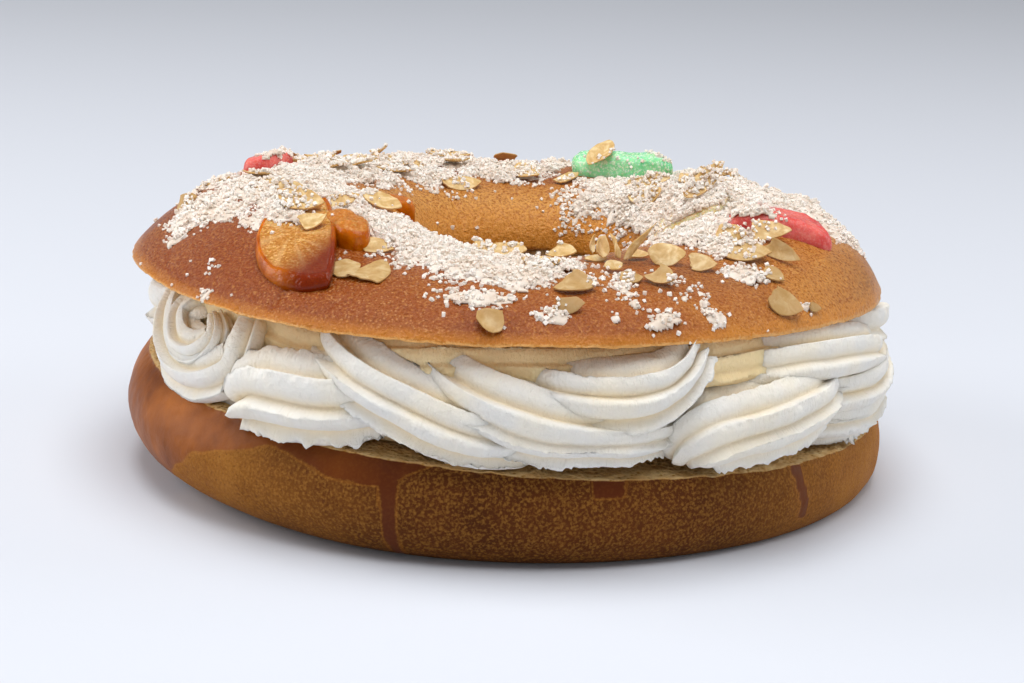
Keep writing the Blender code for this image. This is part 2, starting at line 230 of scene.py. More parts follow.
def upper_bread(finish, steps=560, crust_steps=120, cut_steps=26):
    """Upper half of the bread with an uneven crust, pinches and a torn rim."""
    inward = np.concatenate([
        -np.cos(np.linspace(0, math.pi, crust_steps)),
        np.linspace(1, -1, cut_steps + 2)[1:-1],
    ])
    crust = np.concatenate([np.ones(crust_steps), np.zeros(cut_steps)])
    angle, inward = np.meshgrid(np.linspace(0, 2 * math.pi, steps, endpoint=False), inward, indexing="ij")
    crust = np.broadcast_to(crust, angle.shape)
    inner, outer = hole_radius(angle), upper_radius(angle)
    radius = (inner + outer) / 2 - inward * (outer - inner) / 2
    x, y = radius * np.cos(angle), radius * np.sin(angle)
    z = np.where(crust > 0, crust_height(x, y), lid_under(angle, -inward))
    points = np.stack([x, y, z], axis=-1).reshape(-1, 3)
    crust, inward, angle = (row.reshape(-1) for row in (crust, inward, angle))
    away = 1 - np.abs(inward)
    swell = bumps(points, (0.55, 26, 1), (0.22, 9, 2), (0.05, 2.2, 3))
    rim = np.exp(-(1 + inward) / TORN_RIM)  # 1 at the outer rim
    around = flat_places(np.cos(angle), np.sin(angle))
    torn = bumps(around * UPPER_RADIUS, (0.4, 1.5, 4), (0.35, 3.5, 7), (0.4, 11, 5))
    reached = np.hypot(points[:, 0], points[:, 1])
    for place, reach, depth, width, length in PINCHES:
        off = np.radians((np.degrees(angle) - place + 180) % 360 - 180) * reach
        fall = np.exp(-((off / width) ** 2) - ((reached - reach) / length) ** 2)
        swell -= depth * fall * crust * (0.6 + 0.6 * np.cos(off / width * 4))
    points[:, 2] += swell * np.where(crust > 0, np.clip(away * 12, 0, 1), 0.3)
    points[:, 2] += torn * rim
    points += around * (0.7 * torn * rim)[:, None]
    points[:, 2] += (1 - crust) * bumps(points, (0.35, 1.6, 6))
    points += np.array([MIDDLE.x, MIDDLE.y, 0])
    obj = build("upper_bread", points, sheet_faces(steps, crust_steps + cut_steps, True, True), finish)
    store(obj, "crumb", np.clip((1 - crust) + 0.9 * rim, 0, 1))
    # Rise feeds painted light on the shaded low part of the hole's wall; on the outer side it climbs three
    # times as fast, which leaves only a thin golden edge at the rim
    store(obj, "rise", np.clip(away * np.where(inward < 0, 3, 1), 0, 1))
    wall = np.clip((inward - 0.35) / 0.4, 0, 1)
    store(obj, "golden", np.maximum(wall, 0.62 * near(angle, 338, 7) * np.clip((0.15 - inward) / 0.5, 0, 1)))
    store(obj, "ruddy", 0.95 * near(angle, 218, 2.0) * np.clip((0.2 - inward) / 0.4, 0, 1))
    return outward(obj)


TORN_RIM = 0.012  # how far in the upper half's rim is torn, as a share of half the ring's width
TORN_EDGE = 0.035  # how far down the lower half's cut edge is torn, as a share of its height
FLANK_BEND = 0.6  # share of a flank's points that follow its rounded foot

# Small pinches in the upper crust: angle, radius, depth, width, length
PINCHES = [
    (235, 101 * MM, 1.3 * MM, 2.6 * MM, 3.5 * MM),
    (262, 84 * MM, 0.35 * MM, 7 * MM, 9 * MM),
    (118, 37 * MM, 1.1 * MM, 3 * MM, 12 * MM),
    (95, 95 * MM, 0.5 * MM, 5 * MM, 7 * MM),
]


def lower_bread(finish, steps=560, flank_steps=90, cut_steps=40, foot_steps=16):
    """Lower half of the bread with rounded flanks, glaze runs, a torn cut rim and an open crumb."""
    rise = SIDE_HEIGHT / CUT_HEIGHT
    rim = RIM_INSET / FOOT_INSET
    share = np.linspace(0, 1, flank_steps)
    bent = share < FLANK_BEND
    round_part = np.clip(share / FLANK_BEND, 0, 1) * math.pi / 2
    straight = np.clip((share - FLANK_BEND) / (1 - FLANK_BEND), 0, 1)
    inset = np.where(bent, np.sin(round_part) - 1, -rim * straight ** 2)
    up = np.where(bent, rise * (1 - np.cos(round_part)), rise + (1 - rise) * straight)
    across = np.linspace(1, -1, cut_steps + 2)[1:-1]
    foot = np.linspace(-1, 1, foot_steps + 2)[1:-1]
    side = np.concatenate([np.ones(flank_steps), across, -np.ones(flank_steps), foot])
    inset = np.concatenate([inset, np.full(cut_steps, -rim), inset[::-1], np.full(foot_steps, -1.0)])
    up = np.concatenate([up, np.ones(cut_steps), up[::-1], np.zeros(foot_steps)])
    flat = np.concatenate([np.zeros(flank_steps), np.ones(cut_steps), np.zeros(flank_steps + foot_steps)])
    count = len(side)
    turns = np.linspace(0, 2 * math.pi, steps, endpoint=False)
    angle, side = np.meshgrid(turns, side, indexing="ij")
    inset, up, flat = (np.broadcast_to(row, angle.shape) for row in (inset, up, flat))
    inner, outer = hole_radius(angle), lower_radius(angle)
    tuck = FOOT_INSET * (1 - 0.55 * np.cos(angle) + 0.55 * near(angle, 218, 10))
    half = (outer - inner) / 2
    radius = (inner + outer) / 2 + side * half + np.sign(side) * np.where(flat > 0, 0, inset * tuck)
    radius = np.where(flat > 0, (inner + outer) / 2 + side * (half - rim * tuck), radius)
    radius = np.where((up == 0) & (np.abs(side) < 1), (inner + outer) / 2 + side * (half - tuck), radius)
    x, y = radius * np.cos(angle), radius * np.sin(angle)
    z = up * cut_height(x)
    points = np.stack([x, y, z], axis=-1).reshape(-1, 3)
    angle, up, flat, side = (row.reshape(-1) for row in (angle, up, flat, side))
    outside = (side > 0.5).astype(float)
    facing = flat_places(np.cos(angle), np.sin(angle)) * np.sign(side)[:, None]
    free = np.clip(up * 10, 0, 1) * (1 - flat)
    covers = glaze_cover(np.degrees(angle) % 360, z.reshape(-1) / MM)
    glaze, run = (cover * outside * (1 - flat) for cover in covers)
    wave = bumps(points, (0.5, 30, 11), (0.22, 8, 12), (0.07, 2, 13)) + GLAZE_THICKNESS * glaze
    points += facing * (wave * free)[:, None]
    edge = np.exp(-(1 - up) / TORN_EDGE) * (1 - flat)
    points[:, 2] += edge * bumps(points, (0.4, 2.6, 14), (0.35, 8, 15))
    points[:, 2] += flat * bumps(points, (0.4, 1.7, 16), (0.35, 4, 17))
    points += np.array([MIDDLE.x + LOWER_SHIFT.x, MIDDLE.y + LOWER_SHIFT.y, 0])
    obj = build("lower_bread", points, sheet_faces(steps, count, True, True), finish)
    store(obj, "crumb", np.clip(flat + edge ** 3, 0, 1))
    store(obj, "glaze", glaze)
    store(obj, "run", run)
    store(obj, "rise", up)
    # Painted light and shade: golden lightens the sides, falls to nothing at the front middle in the shade
    # under the cream, and is lower towards the back
    store(obj, "golden", np.clip(1 - near(angle, 278, 1.6) * 1.1, 0, 1) * (0.85 - 0.4 * near(angle, 90, 1)))
    return outward(obj)


def glaze_cover(angle, height):
    """How much egg glaze lies on the lower half's side, and how much of that is a run, at angles in degrees
    and heights in millimetres."""
    around = np.stack([angle * 1.8, height, 0 * height], axis=-1)
    edge = 3.0 * lumps(around, 16, 21) + 1.4 * lumps(around, 5, 22)
    places, heights = np.array(GLAZE_EDGE).T
    shifts = (-5, -2.5, 0, 2.5, 5)  # the edge's corners are rounded over these degrees
    start = sum(np.interp(angle + shift, places, heights) for shift in shifts) / len(shifts)
    first, last = GLAZE_SPAN
    cover = np.clip((height - start + edge) / 1.2, 0, 1)
    cover *= np.clip((angle - first) / 8, 0, 1)
    cover *= np.clip((last + 2.4 * lumps(around, 9, 24) - angle) / 1.5, 0, 1)
    runs = np.zeros(len(cover))
    for place, width, low, lean in GLAZE_RUNS:
        middle = place + lean * (23 - height) + 0.25 * lumps(around, 6, 23)
        body = width * np.clip(0.72 + 0.012 * (height - low), 0.5, 1.05)
        run = np.clip((body - np.abs(angle - middle)) / 0.35, 0, 1) * np.clip((height - low) / 1.2, 0, 1)
        runs = np.maximum(runs, run)
    return np.maximum(cover, runs), runs


GLAZE_THICKNESS = 0.16 * MM
GLAZE_SPAN = (150, 264)  # degrees between which the glaze covers the side
# Lower edge of that glaze: angle in degrees, height in mm
GLAZE_EDGE = [(196, -7), (214, 7), (222, 18), (236, 23.4), (250, 18), (262, 29)]
# Runs of glaze down the lower half's side: angle, half width in degrees, lowest height in mm, lean
GLAZE_RUNS = [
    (254.2, 1.35, -2, 0.03),
    (317.4, 1.5, 5, 0.14),
    (285, 3.4, 19.2, 0.0),
    (38, 2.2, 2, 0.03),
    (95, 1.6, 8, -0.06),
    (148, 2.8, -2, 0.04),
    (171, 1.3, 11, 0.05),
]


# ---------------------------------------------------------------- materials


def set_inputs(node, inputs):
    """Links or sets a node's inputs, given by name or number; a colour is its hex code."""
    for key, value in inputs.items():
        named = [socket for socket in node.inputs if socket.enabled and socket.name == key]
        socket = node.inputs[key] if isinstance(key, int) else named[0]
        if isinstance(value, bpy.types.NodeSocket):
            node.id_data.links.new(value, socket)
        elif value is not None:
            socket.default_value = linear(value) if isinstance(value, str) else value


def add_node(tree, kind, inputs, output=None, stops=(), **settings):
    """Adds a node with its settings, its colour stops and its values or links; returns its output socket."""
    node = tree.nodes.new("ShaderNode" + kind)
    for key, value in settings.items():
        setattr(node, key, value)
    for _ in stops[2:]:
        node.color_ramp.elements.new(0.5)
    for index, (place, code) in enumerate(stops):
        node.color_ramp.elements[index].position = place
        node.color_ramp.elements[index].color = linear(code)
    set_inputs(node, inputs)
    return [socket for socket in node.outputs if socket.enabled and output in (None, socket.name)][0]


def new_finish(name):
    """A material's shader, what adds nodes to it, and places on the piece in metres."""
    finish = bpy.data.materials.new(name)
    finish.use_nodes = True
    add = partial(add_node, finish.node_tree)
    return finish, finish.node_tree.nodes["Principled BSDF"], add, add("TexCoord", {}, output="Object")


def crumb_colour(add, space):
    """Open crumb of a sweet yeast dough, torn by the knife: straw yellow, with painted shade in its 1.5 mm
    holes.
    """
    holes = add("TexVoronoi", {"Vector": space, "Scale": 1 / (1.5 * MM)})
    tone = add("TexNoise", {"Vector": space, "Scale": 1 / (5 * MM), "Detail": 3.0})
    straw = add("ValToRGB", {"Fac": tone}, stops=((0.3, "#dcb074"), (0.7, "#f0d6a0")))
    # Painted shade: the holes are darker brown
    wall = add("MapRange", {"Value": holes, "From Min": 0.12, "From Max": 0.4})
    colour = add("Mix", {"Factor": wall, "A": "#b4823e", "B": straw}, data_type="RGBA")
    return colour, holes


def upper_crust(look):
    """Sweet yeast dough, egg-washed and baked: golden brown skin whose open grain glitters under a shine."""
    finish, shader, add, space = new_finish("baked_egg_washed_dough")
    # The wash pools in patches two fingers wide; the skin's grain is half a millimetre, drawn at 0.8 mm
    patches = add("TexNoise", {
        "Vector": space, "Scale": 1 / (22 * MM), "Detail": 3.0, "Roughness": 0.55, "Distortion": 0.3})
    grain = add("TexNoise", {"Vector": space, "Scale": 1 / (0.8 * MM), "Detail": 3.0, "Roughness": 0.7})
    colour = add("ValToRGB", {"Fac": patches}, stops=(
        (0.28, look.crust_dark), (0.5, look.crust_middle), (0.74, look.crust_light)))
    ruddy = add("Attribute", {}, attribute_name="ruddy", output="Fac")
    pale = add("MapRange", {"Value": grain, "From Min": 0.53, "From Max": 0.66, "To Max": 0.55})
    dark = add("MapRange", {"Value": grain, "From Min": 0.46, "From Max": 0.33, "To Max": 0.55})
    # Bubbles under the skin burst to pale dots 0.3 mm across, about 1 mm apart
    bubbles = add("TexVoronoi", {"Vector": space, "Scale": 1 / (1.05 * MM)})
    dots = add("MapRange", {"Value": bubbles, "From Min": 0.34, "From Max": 0.16, "To Max": 0.5})
    crowd = add("MapRange", {"Value": patches, "From Min": 0.36, "From Max": 0.56})
    dots = add("Math", {0: dots, 1: crowd}, operation="MULTIPLY")
    # Where the skin was shaded in the oven it stays golden and porous
    golden = add("Attribute", {}, attribute_name="golden", output="Fac")
    shaded = add("Math", {0: golden, 1: 0.88}, operation="MULTIPLY")
    gold = add("ValToRGB", {"Fac": grain}, stops=((0.36, "#9c5818"), (0.6, "#dca050")))
    # Painted light: the low part of the hole's wall, which is in shade, is lightened to gold; at the outer
    # rim the same mix gives the crust's own thin golden edge
    rise = add("Attribute", {}, attribute_name="rise", output="Fac")
    low = add("MapRange", {"Value": rise, "From Min": 0.2, "From Max": 0.0, "To Max": 0.6})
    straw, _ = crumb_colour(add, space)
    toasted = add("Mix", {"Factor": 0.7, "A": straw, "B": "#d08830"}, data_type="RGBA")
    cut = add("Attribute", {}, attribute_name="crumb", output="Fac")
    ragged = add("Math", {0: grain, 1: 0.9, 2: cut}, operation="MULTIPLY_ADD")
    crumb = add("MapRange", {"Value": ragged, "From Min": 0.9, "From Max": 1.2})
    for share, tone in (
            (ruddy, "#883a00"), (pale, "#c88a46"), (dark, "#6e340a"), (dots, "#dba068"), (shaded, gold),
            (low, "#d88a2a"), (crumb, toasted)):
        colour = add("Mix", {"Factor": share, "A": colour, "B": tone}, data_type="RGBA")
    dull = add("MapRange", {"Value": grain, "From Min": 0.3, "From Max": 0.7, "To Min": 0.2, "To Max": 0.42})
    swell = add("TexNoise", {"Vector": space, "Scale": 1 / (3.2 * MM), "Detail": 3.0})
    relief = None
    for height, depth in ((swell, 0.65 * MM), (grain, 0.4 * MM), (dots, 0.14 * MM)):
        relief = add("Bump", {"Height": height, "Distance": depth, "Normal": relief})
    set_inputs(shader, {
        "Base Color": colour, "Roughness": dull, "IOR": 1.45, "Specular IOR Level": 0.22, "Coat Weight": 0.18,
        "Coat Roughness": 0.13, "Normal": relief, "Coat Normal": relief})
    return finish


def lower_crust(look):
    """Side of the baked dough: matt brown skin full of pale pores, with smooth darker runs of egg wash."""
    finish, shader, add, space = new_finish("baked_porous_dough")
    # Pores are 0.4 to 1 mm across; the bake darkens in patches as wide as a thumb
    patches = add("TexNoise", {
        "Vector": space, "Scale": 1 / (18 * MM), "Detail": 3.0, "Roughness": 0.6, "Distortion": 0.2})
    grain = add("TexNoise", {"Vector": space, "Scale": 1 / (0.75 * MM), "Detail": 3.0, "Roughness": 0.75})
    pores = add("TexVoronoi", {"Vector": space, "Scale": 1 / (0.95 * MM)})
    colour = add("ValToRGB", {"Fac": patches}, stops=((0.3, look.side_dark), (0.7, look.side_light)))
    # Painted light: the sides take lighter gold tones, and the front middle, in the cream's shade, keeps the
    # dark brown
    gold = add("ValToRGB", {"Fac": patches}, stops=((0.3, "#ae6a22"), (0.7, "#d28c34")))
    golden = add("Attribute", {}, attribute_name="golden", output="Fac")
    open_pores = add("Math", {0: pores, 1: -0.3, 2: grain}, operation="MULTIPLY_ADD")
    speck = add("MapRange", {"Value": open_pores, "From Min": 0.3, "From Max": 0.5, "To Max": 0.4})
    dark = add("MapRange", {"Value": grain, "From Min": 0.44, "From Max": 0.3, "To Max": 0.6})
    # The wash has a thin golden fringe where it stopped running
    wash = add("Attribute", {}, attribute_name="glaze", output="Fac")
    fringe = add("Math", {0: wash, 1: 0.3, 2: 0.2}, operation="COMPARE")
    fringe = add("Math", {0: fringe, 1: 0.22}, operation="MULTIPLY")
    smooth = add("ValToRGB", {"Fac": patches}, stops=((0.3, look.glaze_dark), (0.7, look.glaze_light)))
    # Painted shade: the glaze also turns darker towards the shaded front middle
    lit = add("MapRange", {"Value": golden, "From Min": 0.05, "From Max": 0.45})
    smooth = add("Mix", {"Factor": lit, "A": "#5c2a0c", "B": smooth}, data_type="RGBA")
    run = add("Attribute", {}, attribute_name="run", output="Fac")
    thick = add("Math", {0: run, 1: 0.7}, operation="MULTIPLY")
    smooth = add("Mix", {"Factor": thick, "A": smooth, "B": "#54230a"}, data_type="RGBA")
    body = add("MapRange", {"Value": wash, "From Min": 0.4, "From Max": 0.8, "To Max": 0.9})
    # The open cut is toasted at its rim and pale further in
    straw, holes = crumb_colour(add, space)
    cut = add("Attribute", {}, attribute_name="crumb", output="Fac")
    ragged = add("Math", {0: grain, 1: 0.35, 2: cut}, operation="MULTIPLY_ADD")
    crumb = add("MapRange", {"Value": ragged, "From Min": 0.55, "From Max": 0.85})
    toasted = add("Mix", {"Factor": grain, "A": "#8a5220", "B": "#e6ac58"}, data_type="RGBA")
    inner = add("MapRange", {"Value": cut, "From Min": 0.7, "From Max": 1.0, "To Min": 0.2, "To Max": 0.75})
    straw = add("Mix", {"Factor": inner, "A": toasted, "B": straw}, data_type="RGBA")
    for share, tone in (
            (golden, gold), (speck, "#b37c34"), (dark, "#4a240c"), (fringe, "#a8671f"), (body, smooth),
            (crumb, straw)):
        colour = add("Mix", {"Factor": share, "A": colour, "B": tone}, data_type="RGBA")
    dull = add("MapRange", {"Value": wash, "To Min": 0.66, "To Max": 0.42})
    rough = add("Math", {0: wash, 1: -0.85, 2: 1.0}, operation="MULTIPLY_ADD")
    pitted = add("Math", {0: grain, 1: rough}, operation="MULTIPLY")
    torn = add("Math", {0: holes, 1: cut}, operation="MULTIPLY")
    swell = add("TexNoise", {"Vector": space, "Scale": 1 / (4 * MM), "Detail": 3.0})
    relief = None
    for height, depth in ((swell, 0.3 * MM), (pitted, 0.34 * MM), (torn, 0.9 * MM)):
        relief = add("Bump", {"Height": height, "Distance": depth, "Normal": relief})
    set_inputs(shader, {
        "Base Color": colour, "Roughness": dull, "IOR": 1.45, "Specular IOR Level": 0.12, "Normal": relief})
    return finish


def whipped_cream(look):
    """Whipped cream from a star nozzle: dense white foam, soft inside its folds, its skin finely crinkled."""
    finish, shader, add, space = new_finish("whipped_cream")
    tone = add("TexNoise", {"Vector": space, "Scale": 1 / (14 * MM), "Detail": 2.0})
    colour = add("ValToRGB", {"Fac": tone}, stops=((0.3, look.cream_warm), (0.6, look.cream_white)))
    # Painted shade: the cream under the bread, between the halves and in its grooves is tinted warm for the
    # bread's shade and the light it bounces
    inside = add("Attribute", {}, attribute_name="inside", output="Fac")
    colour = add("Mix", {"Factor": inside, "A": colour, "B": "#f6d796"}, data_type="RGBA")
    # Bubbles burst at the skin: crinkles of 1.6 mm and pits of half a millimetre
    crinkle = add("TexNoise", {"Vector": space, "Scale": 1 / (1.6 * MM), "Detail": 3.0, "Roughness": 0.65})
    pits = add("TexNoise", {"Vector": space, "Scale": 1 / (0.5 * MM), "Detail": 2.0})
    # The nozzle's drag leaves short tears across each ridge, 0.6 mm apart
    along = add("Attribute", {}, attribute_name="along", output="Fac")
    lane = add("Attribute", {}, attribute_name="lane", output="Fac")
    across = add("Math", {0: lane, 1: 1.8 * MM}, operation="MULTIPLY")
    streaks = add("CombineXYZ", {"X": along, "Y": across})
    tears = add("TexNoise", {"Vector": streaks, "Scale": 1 / (0.6 * MM), "Detail": 2.0, "Roughness": 0.6})
    relief = None
    for height, depth in ((crinkle, 0.45 * MM), (tears, 0.45 * MM), (pits, 0.07 * MM)):
        relief = add("Bump", {"Height": height, "Distance": depth, "Normal": relief})
    set_inputs(shader, {
        "Base Color": colour, "Roughness": 0.5, "IOR": 1.4, "Specular IOR Level": 0.25,
        "Subsurface Weight": 0.35, "Subsurface Radius": (0.0014, 0.0013, 0.0013),
        "Subsurface Scale": 1.0, "Normal": relief})
    return finish


def sugar_finish(name, damp_colour, dry_colour):
    """Coarse sugar moistened and baked on: crystals that glint, cloudy where damp and whiter where dry."""
    finish, shader, add, space = new_finish(name)
    damp = add("TexNoise", {"Vector": space, "Scale": 1 / (5 * MM), "Detail": 2.0})
    colour = add("ValToRGB", {"Fac": damp}, stops=((0.34, damp_colour), (0.62, dry_colour)))
    facets = add("TexNoise", {"Vector": space, "Scale": 1 / (0.35 * MM), "Detail": 1.0})
    relief = add("Bump", {"Height": facets, "Distance": 0.05 * MM})
    set_inputs(shader, {
        "Base Color": colour, "Roughness": 0.35, "IOR": 1.5, "Specular IOR Level": 0.4,
        "Subsurface Weight": 0.4, "Subsurface Radius": (0.0006, 0.0005, 0.0005),
        "Subsurface Scale": 1.0, "Normal": relief})
    return finish


def almond_finish():
    """Almond, sliced thin and baked: dry ivory face, faintly fibrous, its cut rim toasted tan."""
    finish, shader, add, space = new_finish("flaked_almond")
    fibres = add("TexNoise", {
        "Vector": space, "Scale": 1 / (3 * MM), "Detail": 3.0, "Roughness": 0.6, "Distortion": 0.6})
    colour = add("ValToRGB", {"Fac": fibres}, stops=((0.3, "#ba9252"), (0.48, "#d0ac72"), (0.66, "#e8ce9e")))
    rim = add("Attribute", {}, attribute_name="toast", output="Fac")
    uneven = add("Math", {0: fibres, 1: 0.12, 2: rim}, operation="MULTIPLY_ADD")
    edge = add("MapRange", {"Value": uneven, "From Min": 1.0, "From Max": 1.08, "To Max": 0.5})
    baked = add("Attribute", {}, attribute_name="brown", output="Fac")
    deeper = add("MapRange", {"Value": baked, "From Min": 0.3, "To Max": 0.85})
    for share, tone in ((edge, "#b9803a"), (deeper, "#a07a46")):
        colour = add("Mix", {"Factor": share, "A": colour, "B": tone}, data_type="RGBA")
    grain = add("TexNoise", {
        "Vector": space, "Scale": 1 / (1.2 * MM), "Detail": 3.0, "Roughness": 0.6, "Distortion": 1.0})
    relief = add("Bump", {"Height": grain, "Distance": 0.06 * MM})
    set_inputs(shader, {
        "Base Color": colour, "Roughness": 0.5, "IOR": 1.46, "Specular IOR Level": 0.35,
        "Subsurface Weight": 0.2, "Subsurface Radius": (0.0018, 0.0012, 0.0007),
        "Subsurface Scale": 1.0, "Normal": relief})
    return finish


def candied(name, light, dark, depth=0.003, frost=0.0):
    """Fruit boiled in syrup and dried: translucent, glossy where bare and dull where sugar frosts it."""
    finish, shader, add, space = new_finish(name)
    # Syrup sits unevenly, in clouds 6 mm wide; frosting crystals are 0.5 mm, drawn at 0.8 mm to show
    clouds = add("TexNoise", {
        "Vector": space, "Scale": 1 / (6 * MM), "Detail": 3.0, "Roughness": 0.6, "Distortion": 0.4})
    colour = add("ValToRGB", {"Fac": clouds}, stops=((0.3, dark), (0.68, light)))
    grain = add("TexNoise", {"Vector": space, "Scale": 1 / (0.8 * MM), "Detail": 2.0, "Roughness": 0.7})
    pulp = add("ValToRGB", {"Fac": grain}, stops=((0.4, "#a8681c"), (0.54, "#c08236"), (0.7, "#e2b87c")))
    spoke = add("Attribute", {}, attribute_name="spoke", output="Fac")
    skin = add("Math", {0: spoke, 1: 0.3}, operation="MULTIPLY")
    pulp = add("Mix", {"Factor": skin, "A": pulp, "B": "#e8c48c"}, data_type="RGBA")
    flesh = add("Attribute", {}, attribute_name="flesh", output="Fac")
    burnt = add("Attribute", {}, attribute_name="burnt", output="Fac")
    dust = add("MapRange", {"Value": grain, "From Min": 0.5, "From Max": 0.6, "To Max": frost})
    for share, tone in ((flesh, pulp), (burnt, "#701c00"), (dust, "#f6efe6")):
        colour = add("Mix", {"Factor": share, "A": colour, "B": tone}, data_type="RGBA")
    matt = add("Math", {0: flesh, 1: dust}, operation="MAXIMUM")
    dull = add("MapRange", {"Value": matt, "To Min": 0.2, "To Max": 0.5})
    swell = add("TexNoise", {"Vector": space, "Scale": 1 / (1.8 * MM), "Detail": 3.0})
    relief = add("Bump", {"Height": swell, "Distance": 0.35 * MM})
    relief = add("Bump", {"Height": grain, "Distance": 0.12 * MM, "Normal": relief})
    set_inputs(shader, {
        "Base Color": colour, "Roughness": dull, "IOR": 1.47, "Specular IOR Level": 0.22,
        "Subsurface Weight": 0.4, "Subsurface Radius": (depth, depth * 0.4, depth * 0.12),
        "Subsurface Scale": 1.0, "Normal": relief})
    return finish


def plain_floor():
    """Studio floor, rolled with emulsion paint: pale, matt, without pattern."""
    finish, shader, _, _ = new_finish("painted_floor")
    set_inputs(shader, {"Base Color": "#d4d8e1", "Roughness": 0.75})
    return finish


# ---------------------------------------------------------------- cream


def smooth_route(stops, steps):
    """Catmull-Rom curve through stops given as rows of numbers."""
    rows = np.array([stops[0], *stops, stops[-1]], dtype=float)
    t = (np.arange(steps) / steps)[:, None]
    route = []
    for a, b, c, d in zip(rows, rows[1:], rows[2:], rows[3:]):
        route.append((2 * b + (c - a) * t + (2 * a - 5 * b + 4 * c - d) * t ** 2
                      + (3 * b - a - 3 * c + d) * t ** 3) / 2)
    route.append(rows[-1:])
    return np.concatenate(route)


# One ridge of the star nozzle, going down its outer side: a long convex face, a groove, then a short ledge
# out to the next crest. Pairs of (share of the ridge, share of the groove's depth).
RIDGE = np.array([
    (0.0, 0.0), (0.05, 0.05), (0.13, 0.1), (0.25, 0.18), (0.38, 0.3), (0.5, 0.46), (0.6, 0.66), (0.68, 0.86),
    (0.745, 1.0), (0.81, 0.93), (0.87, 0.66), (0.93, 0.34), (0.975, 0.1),
])


